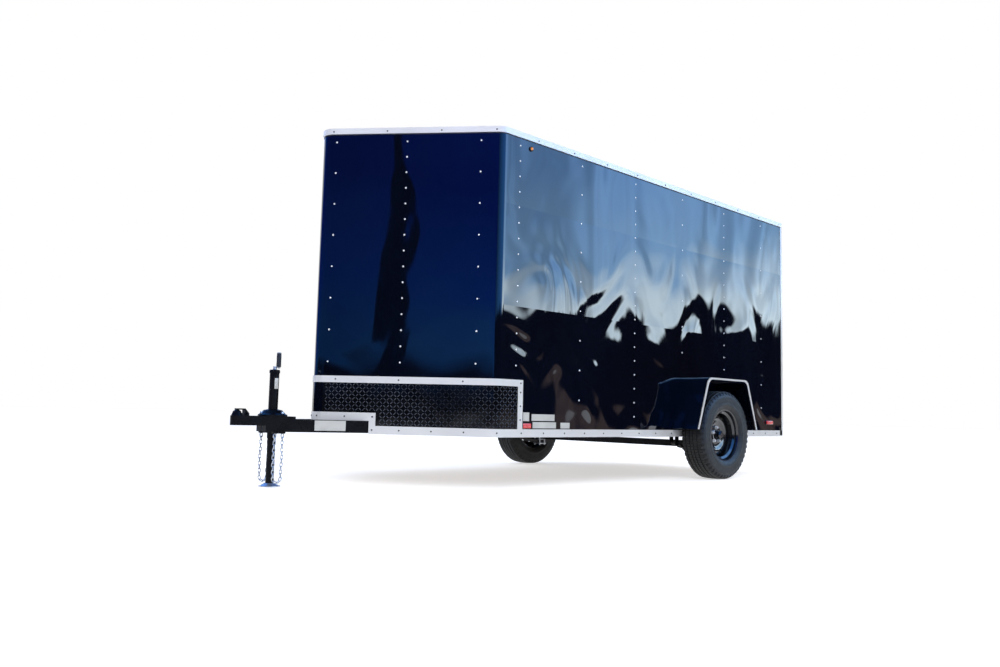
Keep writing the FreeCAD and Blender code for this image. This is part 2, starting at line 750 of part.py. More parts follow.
def make_trims():
    """Bottom trims, the raised trim over the tongue, and the stone guard."""
    depths = (-trim_thickness, size(0))
    levels = (trim_bottom, trim_bottom + trim_height)
    step = tongue_crossing(size(0)) - notch_gap
    step_end = step - guard_trim_width
    side = band("bottom_trim_half", depths, levels, ("side", rear_y - post_depth), ("face", step_end))
    keep("bottom_trims", pair("bottom_trims", side))
    raised = band("raised_trim_half", depths, (frame_top, frame_top + trim_height),
                  ("face", step), ("middle",))
    riser = band("riser_trim", depths, (trim_bottom, frame_top + trim_height),
                 ("face", step_end), ("face", step))
    keep("tongue_trims", pair("tongue_trims", fuse("tongue_trim", [raised, riser])))
    guard_depths = (-guard_thickness, size(0))
    guard_y = corner_y + guard_reach
    low = band("guard_low", guard_depths, (levels[1], guard_top), ("side", guard_y), ("face", step_end))
    high = band("guard_high", guard_depths, (frame_top + trim_height, guard_top),
                ("face", step_end), ("face", nose_start))
    keep("stone_guards", pair("stone_guards", fuse("stone_guard", [low, high])))
    top = band("guard_top_trim", depths, (guard_top, guard_top + guard_trim_width),
               ("side", guard_y), ("middle",))
    end = box("guard_end_trim", (side_x, side_x + trim_thickness),
              (guard_y, guard_y + guard_trim_width), (levels[1], guard_top + guard_trim_width))
    keep("guard_trims", pair("guard_trims", fuse("guard_trim", [top, end])))


def make_rear_frame():
    """Rear posts and header that the ramp door closes into."""
    post = box("post", (side_x - post_width, side_x), (rear_y - post_depth, rear_y),
               (frame_top, wall_top))
    keep("rear_posts", pair("rear_posts", post))
    header = box("header", (-side_x + post_width, side_x - post_width),
                 (rear_y - post_depth, rear_y), (wall_top - header_height, wall_top))
    keep("rear_header", header)


ramp_half = side_x - post_width - door_gap
ramp_bottom = deck_top - ramp_thickness + ramp_rise
ramp_top = wall_top - header_height - door_gap
ramp_pivot_y = rear_y + ramp_hinge_radius
ramp_pivot_z = ramp_bottom - ramp_hinge_radius


def make_ramp():
    """Ramp door, its hinge along the sill and a lock bar up each side."""
    keep("ramp_panel", box("ramp_panel", (-ramp_half, ramp_half),
                           (rear_y - ramp_thickness, rear_y), (ramp_bottom, ramp_top)))
    fixed = []
    moving = []
    length = ramp_half * 2 / barrel_count
    leaf_y = (rear_y, rear_y + ramp_leaf)
    for index in range(barrel_count):
        start = -ramp_half + length * index
        if index % 2:
            barrel = cylinder("barrel", ramp_hinge_radius, length - barrel_gap * 2,
                              (start + barrel_gap, ramp_pivot_y, ramp_pivot_z), "x")
            bore = cylinder("barrel_bore", ramp_pin_radius + seam, length,
                            (start, ramp_pivot_y, ramp_pivot_z), "x")
            leaf = box("barrel_leaf", (start + barrel_gap, start + length - barrel_gap), leaf_y,
                       (ramp_pivot_z + ramp_leaf_offset, ramp_bottom + ramp_leaf_height))
            moving.append(cut("ramp_barrel", fuse("barrel_solid", [barrel, leaf]), bore))
        else:
            lug = cylinder("lug", ramp_hinge_radius, length,
                           (start, ramp_pivot_y, ramp_pivot_z), "x")
            leaf = box("lug_leaf", (start, start + length), leaf_y,
                       (frame_bottom, ramp_pivot_z - ramp_leaf_offset))
            fixed.append(fuse("ramp_lug", [lug, leaf]))
    pin = cylinder("ramp_pin", ramp_pin_radius, ramp_half * 2,
                   (-ramp_half, ramp_pivot_y, ramp_pivot_z), "x")
    keep("ramp_hinge_fixed", fuse("ramp_hinge_fixed", fixed + [pin]))
    keep("ramp_hinge_leaves", group("ramp_hinge_leaves", moving))
    make_lock_bars()


def make_lock_bars():
    """A bar up each side of the ramp door, in brackets, with its handle and hasp."""
    bar_x = ramp_half - bar_inset
    bar_y = rear_y + rear_reach - hasp_depth
    bar_low = ramp_bottom + bar_start
    height = ramp_top - ramp_bottom
    parts = [cylinder("bar", lock_bar_radius, height - bar_start - bar_end, (bar_x, bar_y, bar_low))]
    for share in (0.08, 0.35, 0.65, 0.95):
        z = bar_low + (height - bar_start * 2) * share
        parts.append(box("bar_bracket", (bar_x - bracket_width / 2, bar_x + bracket_width / 2),
                         (rear_y, bar_y + bracket_wall), (z, z + bracket_height)))
    handle_z = ramp_bottom + height * 0.42
    handle_x = bar_x - lock_handle_length
    handle_y = bar_y + bracket_wall
    parts.append(box("bar_handle", (handle_x, bar_x), (handle_y - lock_handle_thickness, handle_y),
                     (handle_z, handle_z + lock_handle_height)))
    parts.append(box("bar_hasp", (handle_x + hasp_width / 2, handle_x + hasp_width * 1.5),
                     (rear_y, rear_y + rear_reach),
                     (handle_z - bracket_wall, handle_z + lock_handle_height + bracket_wall)))
    keep("ramp_lock_bars", pair("ramp_lock_bars", fuse("ramp_lock_bar", parts)))


side_door_near = corner_y + side_door_front
side_door_far = side_door_near + side_door_width
side_door_face = -(side_x + skin_thickness)
hinge_x = side_door_face - hinge_leaf - hinge_radius + 2
hinge_y = side_door_near - door_gap / 2


def make_side_door():
    """Kerb-side door in its frame, with three hinges and a latch."""
    top = side_door_bottom + side_door_height
    keep("side_door_panel", box("side_door_panel", (side_door_face, side_door_face + wall_thickness),
                                (side_door_near, side_door_far), (side_door_bottom, top)))
    outer = box("frame_outer", (side_door_face, -side_x),
                (side_door_near - door_gap - door_frame_width,
                 side_door_far + door_gap + door_frame_width),
                (side_door_bottom - door_gap - door_sill, top + door_gap + door_frame_width))
    inner = box("frame_inner", (side_door_face - skin_thickness, -side_x + skin_thickness),
                (side_door_near - door_gap, side_door_far + door_gap),
                (side_door_bottom - door_gap, top + door_gap))
    keep("side_door_frame", cut("side_door_frame", outer, inner))
    fixed = []
    moving = []
    for share in (0.1, 0.5, 0.9):
        z = side_door_bottom + (side_door_height - hinge_length) * share
        half = hinge_length / 2
        pin = cylinder("hinge_pin", hinge_pin_radius, hinge_length, (hinge_x, hinge_y, z))
        low = cylinder("hinge_low", hinge_radius, half - 1, (hinge_x, hinge_y, z))
        leaf = box("fixed_leaf", (side_door_face - hinge_leaf, side_door_face),
                   (side_door_near - door_gap - hinge_reach, hinge_y), (z, z + half - 1))
        fixed.append(fuse("hinge_fixed", [pin, low, leaf]))
        high = cylinder("hinge_high", hinge_radius, half - 1, (hinge_x, hinge_y, z + half + 1))
        wing = box("moving_leaf", (side_door_face - hinge_leaf, side_door_face),
                   (hinge_y, side_door_near + hinge_reach), (z + half + 1, z + hinge_length))
        bore = cylinder("hinge_bore", hinge_pin_radius + seam, hinge_length,
                        (hinge_x, hinge_y, z))
        moving.append(cut("hinge_moving", fuse("hinge_wing", [high, wing]), bore))
    keep("side_door_hinge_pins", group("side_door_hinge_pins", fixed))
    keep("side_door_hinge_leaves", group("side_door_hinge_leaves", moving))
    latch_far = side_door_far - latch_plate_inset
    latch_near = latch_far - latch_plate_width
    latch_top = latch_bottom + latch_height
    plate = box("latch_plate", (side_door_face - latch_base, side_door_face),
                (latch_near, latch_far), (latch_bottom, latch_top))
    lever = box("door_lever", (side_door_face - latch_depth, side_door_face - latch_base),
                (latch_near + latch_lever_margin, latch_far - latch_lever_margin),
                (latch_bottom + latch_lever_end, latch_top - latch_lever_end))
    keep("side_door_latch", fuse("side_door_latch", [plate, lever]))


def make_wheel():
    """Tyre, steel rim and hub of the left wheel, and their mirror images."""
    half = tyre_width / 2
    at = (wheel_x, axle_y, wheel_radius)
    bead = rim_width / 2
    hollow = half - tyre_wall
    low = rim_radius + tyre_bulge
    upper = wheel_radius - tyre_bulge
    crown = half - tyre_bulge
    inside = wheel_radius - tread_thickness
    tyre = turned("left_tyre", [
        (-bead, rim_radius), (-half, low), (-half, upper),
        (-half + tyre_shoulder, wheel_radius - crown_drop), (-crown, wheel_radius),
        (crown, wheel_radius), (half - tyre_shoulder, wheel_radius - crown_drop),
        (half, upper), (half, low), (bead, rim_radius),
        (bead - tyre_bead, rim_radius), (hollow, low), (hollow, upper),
        (half - tyre_shoulder - tyre_wall, inside), (-half + tyre_shoulder + tyre_wall, inside),
        (-hollow, upper), (-hollow, low), (-bead + tyre_bead, rim_radius),
    ], at)
    keep("left_tyre", tyre)
    rim = turned("left_rim", [
        (-bead, rim_radius - 12), (-8, rim_radius - 28), (-8, 110), (0, 100), (0, 40),
        (8, 40), (8, 110), (0, 150), (0, rim_radius - 28), (bead, rim_radius - 12),
        (bead, rim_radius), (-bead, rim_radius),
    ], at)
    keep("left_rim", rim)
    bore = spindle_radius + running_gap
    hub = turned("left_hub", [
        (-80, bore), (-80, 46), (-10, 56), (-10, 75), (0, 75), (0, 40), (46, 32), (56, 22), (56, 0),
        (44, 0), (44, bore),
    ], at)
    keep("left_hub", hub)
    for name in ("tyre", "rim", "hub"):
        keep("right_" + name, mirror("right_" + name, nodes["left_" + name]))


def make_fenders():
    """Flat-topped fender: a folded sheet with a lip along its outer edge."""
    start = side_x
    out = wheel_x + tyre_width / 2 + fender_clearance
    outer = [
        (-fender_bottom_half, fender_bottom), (-fender_top_half, fender_top),
        (fender_top_half, fender_top), (fender_bottom_half, fender_bottom),
    ]
    inner = [
        (fender_bottom_half - fender_sheet * 1.2, fender_bottom),
        (fender_top_half - fender_sheet * 0.8, fender_top - fender_sheet),
        (-fender_top_half + fender_sheet * 0.8, fender_top - fender_sheet),
        (-fender_bottom_half + fender_sheet * 1.2, fender_bottom),
    ]
    shell = padded("fender_shell", "YZ_Plane", outer + inner, out - start, (start, axle_y, 0))
    lip_inner = [
        (fender_bottom_half - fender_lip * 1.1, fender_bottom),
        (fender_top_half - fender_lip * 0.7, fender_top - fender_lip),
        (-fender_top_half + fender_lip * 0.7, fender_top - fender_lip),
        (-fender_bottom_half + fender_lip * 1.1, fender_bottom),
    ]
    lip = padded("fender_lip_strip", "YZ_Plane", outer + lip_inner, fender_sheet,
                 (out - fender_sheet, axle_y, 0))
    keep("left_fender", fuse("left_fender", [shell, lip]))
    keep("right_fender", mirror("right_fender", nodes["left_fender"]))


def make_lights():
    """Tail lights in the posts, and markers on the sides."""
    tail_out = side_x - tail_light_inset
    tail = box("tail", (tail_out - tail_light_width, tail_out), (rear_y, rear_y + tail_light_depth),
               (tail_light_bottom, tail_light_bottom + tail_light_height))
    keep("tail_lights", pair("tail_lights", tail))
    marker_y = corner_y + marker_reach
    high = box("high", (side_x, side_x + marker_depth), (marker_y, marker_y + marker_width),
               (marker_bottom, marker_bottom + marker_width))
    keep("side_markers", pair("side_markers", high))
    rear_marker_y = rear_y - rear_marker_reach
    rear = box("rear_marker", (side_x, side_x + marker_depth),
               (rear_marker_y - rear_marker_width, rear_marker_y),
               (rear_marker_bottom, rear_marker_bottom + rear_marker_height))
    keep("rear_side_markers", pair("rear_side_markers", rear))


def chain_route(side):
    """Corner points of one safety chain, from its anchor's face, in a loop."""
    x = side * chain_x.value
    return [
        (x, -25, 0), (x, -25, -72), (x, -29, -150), (x, -26, -226), (x, -25, -290),
        (x, 25, -290), (x, 23, -226), (x, 28, -150), (x, 25, -72), (x, 25, 0),
    ]


def make_chains():
    """Safety chains, each a plain tube along its route."""
    for name, side in (("left_chain", 1), ("right_chain", -1)):
        points = [FreeCAD.Vector(*point) for point in chain_route(side)]
        edges = []
        at = points[0]
        for before, corner, after in zip(points, points[1:], points[2:]):
            into = (corner - before).normalize()
            out = (after - corner).normalize()
            turn = into.getAngle(out)
            run = min((corner - before).Length, (after - corner).Length)
            reach = 0.45 * run
            first = corner - into * reach
            last = corner + out * reach
            radius = reach / math.tan(turn / 2)
            print(f"{name}: bend of radius {radius:.0f}")
            middle = corner + (out - into).normalize() * (radius / math.cos(turn / 2) - radius)
            edges.append(Part.LineSegment(at, first).toShape())
            edges.append(Part.Arc(first, middle, last).toShape())
            at = last
        edges.append(Part.LineSegment(at, points[-1]).toShape())
        path = Part.Wire(edges)
        start = (points[1] - points[0]).normalize()
        ring = Part.Wire(Part.Circle(points[0], start, chain_width.value / 2).toShape())
        tube = path.makePipeShell([ring], True, False)
        chain = doc.addObject("Part::Feature", name)
        chain.Shape = tube
        ideal = math.pi * (chain_width.value / 2) ** 2 * path.Length
        print(f"{name}: length {path.Length:.0f}, volume ratio {tube.Volume / ideal:.4f}")
        keep(name, place(chain, 0, jack_y, frame_bottom - anchor_height))
    anchor = box("anchor", (chain_x - anchor_inner, chain_x + anchor_outer),
                 (jack_y - anchor_half, jack_y + anchor_half),
                 (frame_bottom - anchor_height, frame_bottom))
    keep("chain_anchors", pair("chain_anchors", anchor))


make_frame()
make_jack(make_coupler(make_tongue()))
make_axle()
make_springs()
make_floor()
make_walls()
make_roof()
make_trims()
make_rear_frame()
make_ramp()
make_side_door()
make_wheel()
make_fenders()
make_lights()
make_chains()

doc.recompute()
for thing in doc.Objects:
    if "Invalid" in thing.State or "Error" in thing.State:
        raise RuntimeError(f"{thing.Label} did not build: {thing.State}")
for name, thing in nodes.items():
    if thing.Shape.isNull() or not thing.Shape.isValid():
        raise RuntimeError(f"{name} has no valid shape")

os.makedirs("parts", exist_ok=True)
for name, thing in nodes.items():
    thing.Shape.exportStep(f"parts/{name}.step")
print(f"{len(nodes)} sub-parts written")
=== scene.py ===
import math

import bmesh
import bpy
from mathutils import Matrix, Vector


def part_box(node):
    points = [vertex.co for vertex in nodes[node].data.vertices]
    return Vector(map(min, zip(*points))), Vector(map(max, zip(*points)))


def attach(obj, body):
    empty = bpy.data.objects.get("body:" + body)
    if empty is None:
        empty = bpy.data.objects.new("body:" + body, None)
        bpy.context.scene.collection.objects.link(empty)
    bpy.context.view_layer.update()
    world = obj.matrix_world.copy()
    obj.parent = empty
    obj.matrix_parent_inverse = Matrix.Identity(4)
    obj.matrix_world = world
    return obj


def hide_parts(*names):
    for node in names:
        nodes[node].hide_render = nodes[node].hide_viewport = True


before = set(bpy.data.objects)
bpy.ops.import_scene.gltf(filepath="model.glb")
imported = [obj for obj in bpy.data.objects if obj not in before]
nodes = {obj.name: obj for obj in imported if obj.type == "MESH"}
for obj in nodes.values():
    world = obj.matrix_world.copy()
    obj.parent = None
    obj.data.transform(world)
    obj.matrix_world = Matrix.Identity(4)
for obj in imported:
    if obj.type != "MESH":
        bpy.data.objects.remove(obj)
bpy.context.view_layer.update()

scene = bpy.context.scene
FULL_TURN = 2 * math.pi


def low(node):
    return Vector(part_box(node)[0])


def high(node):
    return Vector(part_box(node)[1])


def centre(node):
    return (low(node) + high(node)) / 2


# Plan of the box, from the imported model's own corners
BOX_LENGTH = 3.581
NOSE_DEPTH = 0.754
CORNER_RADIUS = 0.075
NOSE_RADIUS = 0.090
WALL = 0.038
side_x = high("left_wall").x
rear_y = high("rear_posts").y
corner_y = rear_y - BOX_LENGTH
jack_y = centre("jack_tube").y
face_length = math.hypot(side_x, NOSE_DEPTH)
along_x = side_x / face_length
along_y = NOSE_DEPTH / face_length
bend = math.atan2(along_x, along_y)
corner_mid = Vector((side_x - CORNER_RADIUS, corner_y + CORNER_RADIUS * (1 - along_y) / along_x, 0))
nose_mid = Vector((0, corner_y - NOSE_DEPTH + NOSE_RADIUS / along_x, 0))
corner_run = CORNER_RADIUS * bend
corner_cut = CORNER_RADIUS * (1 - along_y) / along_x
face_run = corner_run + face_length - NOSE_RADIUS * along_y / along_x - corner_cut
nose_run = face_run + NOSE_RADIUS * (math.pi / 2 - bend)
trim_top = high("bottom_trims").z
trim_low = low("bottom_trims").z
cap_low = low("roof_cap").z
cap_top = high("roof_cap").z


def skin_place(run, height, out=0.0):
    """Place and outward direction on the left skin, at a run forward of where its corner starts to bend."""
    if run < 0:
        way = Vector((1, 0, 0))
        at = Vector((side_x, corner_mid.y - run, 0))
    elif run < corner_run:
        turn = run / CORNER_RADIUS
        way = Vector((math.cos(turn), -math.sin(turn), 0))
        at = corner_mid + way * CORNER_RADIUS
    elif run < face_run:
        way = Vector((along_y, -along_x, 0))
        at = corner_mid + way * CORNER_RADIUS + Vector((-along_x, -along_y, 0)) * (run - corner_run)
    else:
        turn = bend + (run - face_run) / NOSE_RADIUS
        way = Vector((math.cos(turn), -math.sin(turn), 0))
        at = nose_mid + way * NOSE_RADIUS
    return at + way * out + Vector((0, 0, height)), way


def run_from_corner(distance):
    """The run of a place on the nose face, from its distance to the face's sharp corner."""
    return corner_run + distance - corner_cut


# Finishes

class Finish:
    """A procedural finish on Object coordinates."""

    def __init__(self, name, **sockets):
        self.material = bpy.data.materials.new(name)
        self.material.use_nodes = True
        self.tree = self.material.node_tree
        self.shader = self.tree.nodes["Principled BSDF"]
        self.place = self.node("ShaderNodeTexCoord").outputs["Object"]
        for socket, value in sockets.items():
            self.shader.inputs[socket.replace("_", " ")].default_value = value

    def node(self, kind, **inputs):
        made = self.tree.nodes.new(kind)
        for socket, value in inputs.items():
            self.feed(made.inputs[socket.replace("_", " ")], value)
        return made

    def feed(self, socket, value):
        if isinstance(value, bpy.types.NodeSocket):
            self.tree.links.new(value, socket)
        else:
            socket.default_value = value

    def stretched(self, scale):
        return self.node("ShaderNodeMapping", Vector=self.place, Scale=scale).outputs["Vector"]

    def noise(self, scale, detail=3.0, stretch=None, distortion=0.0):
        where = self.place if stretch is None else self.stretched(stretch)
        made = self.node("ShaderNodeTexNoise", Vector=where, Scale=scale, Detail=detail,
                         Distortion=distortion)
        return made.outputs["Fac"]

    def between(self, value, start, end, lowest=0.0, highest=1.0):
        made = self.node("ShaderNodeMapRange", Value=value, From_Min=start, From_Max=end,
                         To_Min=lowest, To_Max=highest)
        return made.outputs["Result"]

    def colours(self, value, stops):
        """Base colour along a ramp of (position, colour)."""
        made = self.node("ShaderNodeValToRGB", Fac=value)
        ramp = made.color_ramp
        while len(ramp.elements) < len(stops):
            ramp.elements.new(0.5)
        for element, (position, colour) in zip(ramp.elements, stops):
            element.position = position
            element.color = (*colour, 1)
        self.feed(self.shader.inputs["Base Color"], made.outputs["Color"])
        return self

    def rough(self, value, lowest, highest):
        self.feed(self.shader.inputs["Roughness"], self.between(value, 0.3, 0.7, lowest, highest))
        return self

    def bumps(self, *layers):
        """Raise the surface by layers of (height, distance in metres)."""
        normal = None
        for height, distance in layers:
            made = self.node("ShaderNodeBump", Height=height, Distance=distance, Strength=1.0)
            if normal is not None:
                self.feed(made.inputs["Normal"], normal)
            normal = made.outputs["Normal"]
        self.feed(self.shader.inputs["Normal"], normal)
        return self

    def axis(self, name):
        return self.node("ShaderNodeSeparateXYZ", Vector=self.place).outputs[name]

    def maths(self, operation, *values):
        made = self.node("ShaderNodeMath")
        made.operation = operation
        for socket, value in zip(made.inputs, values):
            self.feed(socket, value)
        return made.outputs[0]


def skin_finish(name, wave, crease, calm):
    """Gloss paint on thin sheet: broad waves, and ripples that fade to a share of themselves higher up."""
    made = Finish(name, IOR=1.62)
    made.colours(made.noise(0.9, 2), [(0.3, (0.0010, 0.0015, 0.0042)), (0.7, (0.0016, 0.0030, 0.0090))])
    made.rough(made.noise(14, 4), 0.020, 0.045)
    fade = made.between(made.axis("Z"), RIPPLE_LOW, RIPPLE_HIGH, 1.0, calm)
    ripples = made.maths("MULTIPLY", made.noise(1.9, 1, (1, 1, 0.85), 1.1), fade)
    made.bumps((made.noise(1.15, 1, (1, 1, 0.34), 0.5), wave), (ripples, crease))
    return made.material


RIPPLE_LOW = 1.15
RIPPLE_HIGH = 1.80
side_skin = skin_finish("side_skin", 0.056, 0.038, 0.10)
nose_skin = skin_finish("nose_skin", 0.012, 0.004, 0.5)

bright = Finish("bright_trim", Metallic=0.15)
bright.colours(bright.noise(2.5, 2), [(0.2, (0.64, 0.64, 0.645)), (0.8, (0.78, 0.78, 0.785))])
bright.rough(bright.noise(6, 2), 0.28, 0.36)
bright.bumps((bright.noise(1.6, 1), 0.0008))
bright_trim = bright.material

frame_paint = Finish("frame_black", Specular_IOR_Level=0.12)
frame_paint.colours(frame_paint.noise(9, 5), [(0.3, (0.0018, 0.0018, 0.0024)), (0.8, (0.0062, 0.0062, 0.0075))])
frame_paint.rough(frame_paint.noise(30, 4), 0.22, 0.38)
frame_paint.bumps((frame_paint.noise(260, 2), 0.00035))
frame_black = frame_paint.material

guard = Finish("guard_black", IOR=1.42)
guard.colours(guard.noise(5, 4), [(0.3, (0.0012, 0.0014, 0.0024)), (0.75, (0.0034, 0.0040, 0.0062))])
guard.rough(guard.noise(22, 4), 0.06, 0.13)
guard.bumps((guard.noise(2.2, 2), 0.010), (guard.noise(420, 2), 0.00005))
guard_black = guard.material

# Painted glints: the diamonds are lighter than the guard in broad patches, as where the ridges catch the light.
ridges = Finish("guard_ridges", Metallic=0.4)
ridges.colours(ridges.noise(1.9, 3), [(0.42, (0.004, 0.005, 0.008)), (0.68, (0.085, 0.09, 0.10))])
ridges.rough(ridges.noise(40, 4), 0.20, 0.34)
ridges.bumps((ridges.noise(300, 2), 0.0001))
guard_ridges = ridges.material

wood = Finish("plywood")
grain = wood.noise(7, 6, (1, 0.09, 1), 1.4)
wood.colours(grain, [(0.25, (0.33, 0.20, 0.10)), (0.5, (0.47, 0.31, 0.165)), (0.78, (0.60, 0.43, 0.25))])
wood.rough(wood.noise(30, 4, (1, 0.2, 1)), 0.52, 0.72)
wood.bumps((grain, 0.0014), (wood.noise(170, 3, (1, 0.1, 1)), 0.0005))
plywood = wood.material

rubber = Finish("tyre_rubber", Specular_IOR_Level=0.35)
rubber.colours(rubber.noise(16, 5), [(0.3, (0.006, 0.006, 0.006)), (0.8, (0.020, 0.020, 0.0195))])
rubber.rough(rubber.noise(50, 4), 0.42, 0.60)
rubber.bumps((rubber.noise(420, 3), 0.0004))
tyre_rubber = rubber.material

enamel = Finish("wheel_black", Coat_Weight=0.6, Coat_Roughness=0.08)
enamel.colours(enamel.noise(12, 4), [(0.3, (0.0025, 0.0028, 0.0040)), (0.8, (0.0070, 0.0078, 0.011))])
enamel.rough(enamel.noise(60, 3), 0.12, 0.22)
enamel.bumps((enamel.noise(190, 2), 0.00018))
wheel_black = enamel.material

plating = Finish("zinc", Metallic=0.85)
plating.colours(plating.noise(42, 5), [(0.25, (0.40, 0.42, 0.44)), (0.6, (0.60, 0.62, 0.64)), (0.85, (0.74, 0.75, 0.76))])
plating.rough(plating.noise(90, 4), 0.22, 0.42)
plating.bumps((plating.noise(320, 3), 0.00022))
zinc = plating.material

polish = Finish("wheel_nuts", Metallic=0.25)
polish.colours(polish.noise(30, 4), [(0.3, (0.78, 0.79, 0.81)), (0.8, (0.90, 0.91, 0.92))])
polish.rough(polish.noise(80, 3), 0.14, 0.24)
polish.bumps((polish.noise(240, 2), 0.0001))
nut_bright = polish.material

heads = Finish("rivet_heads", Metallic=0.15)
heads.colours(heads.noise(30, 3), [(0.3, (0.84, 0.85, 0.86)), (0.8, (0.93, 0.93, 0.94))])
heads.rough(heads.noise(80, 3), 0.18, 0.30)
heads.bumps((heads.noise(260, 2), 0.00008))
rivet_heads = heads.material

handle = Finish("grip_black")
handle.colours(handle.noise(24, 4), [(0.3, (0.010, 0.010, 0.011)), (0.8, (0.026, 0.026, 0.028))])
handle.rough(handle.noise(60, 4), 0.45, 0.65)
handle.bumps((handle.noise(600, 2), 0.0004))
grip_black = handle.material

spring = Finish("spring_steel", Metallic=0.3)
spring.colours(spring.noise(18, 5), [(0.3, (0.010, 0.009, 0.009)), (0.8, (0.040, 0.035, 0.031))])
spring.rough(spring.noise(40, 4), 0.42, 0.62)
spring.bumps((spring.noise(150, 4), 0.0006))
spring_steel = spring.material


def lens_finish(name, dark, pale, glow):
    # Every lens glows faintly. On the front reflectors, which share the red lens and hold no lamp, the glow is
    # painted light.
    made = Finish(name, Coat_Weight=0.8, Coat_Roughness=0.03, Emission_Strength=glow)
    made.shader.inputs["Emission Color"].default_value = (*pale, 1)
    made.colours(made.noise(30, 2), [(0.35, dark), (0.7, pale)])
    made.rough(made.noise(60, 2), 0.10, 0.20)
    ribs = made.node("ShaderNodeTexWave", Vector=made.place, Scale=46, Distortion=0.0)
    ribs.bands_direction = "Z"
    made.bumps((ribs.outputs["Fac"], 0.0006))
    return made.material


lens_amber = lens_finish("lens_amber", (0.75, 0.20, 0.012), (0.95, 0.36, 0.035), 0.10)
lens_red = lens_finish("lens_red", (0.50, 0.006, 0.004), (0.78, 0.020, 0.012), 0.10)

roofing = Finish("roof_white")
roofing.colours(roofing.noise(2.2, 5), [(0.3, (0.60, 0.61, 0.62)), (0.75, (0.74, 0.75, 0.76))])
roofing.rough(roofing.noise(9, 4), 0.30, 0.46)
roofing.bumps((roofing.noise(1.2, 2), 0.006), (roofing.noise(240, 2), 0.0002))
roof_white = roofing.material

film = Finish("blank_plate")
film.colours(film.noise(9, 4), [(0.3, (0.50, 0.50, 0.49)), (0.75, (0.64, 0.64, 0.62))])
film.rough(film.noise(50, 3), 0.30, 0.45)
film.bumps((film.noise(300, 2), 0.0001))
blank_plate = film.material

SLOTS = {
    "left_wall": side_skin, "right_wall": side_skin, "left_nose_wall": nose_skin,
    "right_nose_wall": nose_skin, "nose_post": nose_skin, "ramp_panel": side_skin,
    "side_door_panel": side_skin, "rear_posts": side_skin, "rear_header": side_skin,
    "roof_cap": bright_trim, "rear_cap": bright_trim, "bottom_trims": bright_trim,
    "tongue_trims": bright_trim, "guard_trims": bright_trim, "side_door_frame": bright_trim,
    "stone_guards": guard_black, "roof": roof_white, "floor_deck": plywood,
    "frame_rails": frame_black, "floor_crossmembers": frame_black, "rear_sill": frame_black,
    "nose_frame": frame_black, "tongue_tubes": frame_black, "coupler": frame_black,
    "coupler_latch": frame_black, "jack_tube": frame_black, "jack_leg": frame_black,
    "axle": frame_black, "spring_hangers": frame_black, "chain_anchors": frame_black,
    "leaf_springs": spring_steel, "spring_clamps": zinc, "jack_crank": zinc, "jack_foot": zinc,
    "ramp_hinge_fixed": zinc, "ramp_hinge_leaves": zinc, "ramp_lock_bars": zinc,
    "side_door_hinge_pins": zinc, "side_door_hinge_leaves": zinc, "side_door_latch": grip_black,
    "left_rim": wheel_black, "right_rim": wheel_black, "left_hub": wheel_black, "right_hub": wheel_black,
    "left_tyre": tyre_rubber, "right_tyre": tyre_rubber, "left_fender": nose_skin,
    "right_fender": nose_skin, "tail_lights": lens_red, "side_markers": lens_amber,
    "rear_side_markers": lens_red, "left_chain": zinc, "right_chain": zinc,
}
for name, node in nodes.items():
    node.data.materials.clear()
    node.data.materials.append(SLOTS[name])


# Making pieces

def piece(name, bm, finish, body="trailer", crease=32):
    """Close off a bmesh as a finished piece that rides on a body."""
    bmesh.ops.recalc_face_normals(bm, faces=bm.faces)
    mesh = bpy.data.meshes.new(name)
    bm.to_mesh(mesh)
    bm.free()
    mesh.materials.append(finish)
    mesh.shade_smooth()
    mesh.set_sharp_from_angle(angle=math.radians(crease))
    made = bpy.data.objects.new(name, mesh)
    scene.collection.objects.link(made)
    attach(made, body)
    return made


def soften(bm, verts, size, segments=2):
    """Round every edge between these vertices."""
    inside = set(verts)
    edges = [edge for edge in bm.edges if edge.verts[0] in inside and edge.verts[1] in inside]
    bmesh.ops.bevel(bm, geom=edges, offset=size, offset_type="OFFSET", affect="EDGES",
                    segments=segments, profile=0.5, material=-1, clamp_overlap=True)


def block(bm, start, end, softness=0.0, turn=None):
    """A block between two corners, with softened edges."""
    start, end = Vector(start), Vector(end)
    shape = Matrix.Translation((start + end) / 2)
    if turn is not None:
        shape = shape @ turn
    shape = shape @ Matrix.Diagonal((*(end - start), 1))
    made = bmesh.ops.create_cube(bm, size=1, matrix=shape)
    if softness:
        soften(bm, made["verts"], softness)


def rod(bm, start, end, radius, segments=24, tip=None):
    """A round bar, or a cone where its tip has its own radius."""
    start, end = Vector(start), Vector(end)
    run = end - start
    shape = Matrix.Translation((start + end) / 2) @ run.to_track_quat("Z", "Y").to_matrix().to_4x4()
    bmesh.ops.create_cone(bm, cap_ends=True, cap_tris=False, segments=segments, radius1=radius,
                          radius2=radius if tip is None else tip, depth=run.length, matrix=shape)


def turned(bm, outline, at, axis, steps, closed=True):
    """Turn an outline of (along the axis, radius) about an axis through a place."""
    at, axis = Vector(at), Vector(axis)
    side = axis.orthogonal().normalized()
    verts = [bm.verts.new(at + axis * along + side * radius) for along, radius in outline]
    pairs = list(zip(verts, verts[1:]))
    if closed:
        pairs.append((verts[-1], verts[0]))
    edges = [bm.edges.new(ends) for ends in pairs]
    bmesh.ops.spin(bm, geom=verts + edges, cent=at, axis=axis, angle=FULL_TURN, steps=steps,
                   use_merge=True)
    bmesh.ops.remove_doubles(bm, verts=bm.verts, dist=1e-6)


def facing(at, way, spin=0.0):
    """A place whose +Z points along a way."""
    turn = Vector(way).to_track_quat("Z", "Y").to_matrix().to_4x4()
    return Matrix.Translation(at) @ turn @ Matrix.Rotation(spin, 4, "Z")


def stamp(bm, template, places):
    """Copy a small mesh to each place."""
    count = len(template.vertices)
    for place in places:
        bm.from_mesh(template)
        bm.verts.ensure_lookup_table()
        bmesh.ops.transform(bm, matrix=place, verts=bm.verts[-count:])


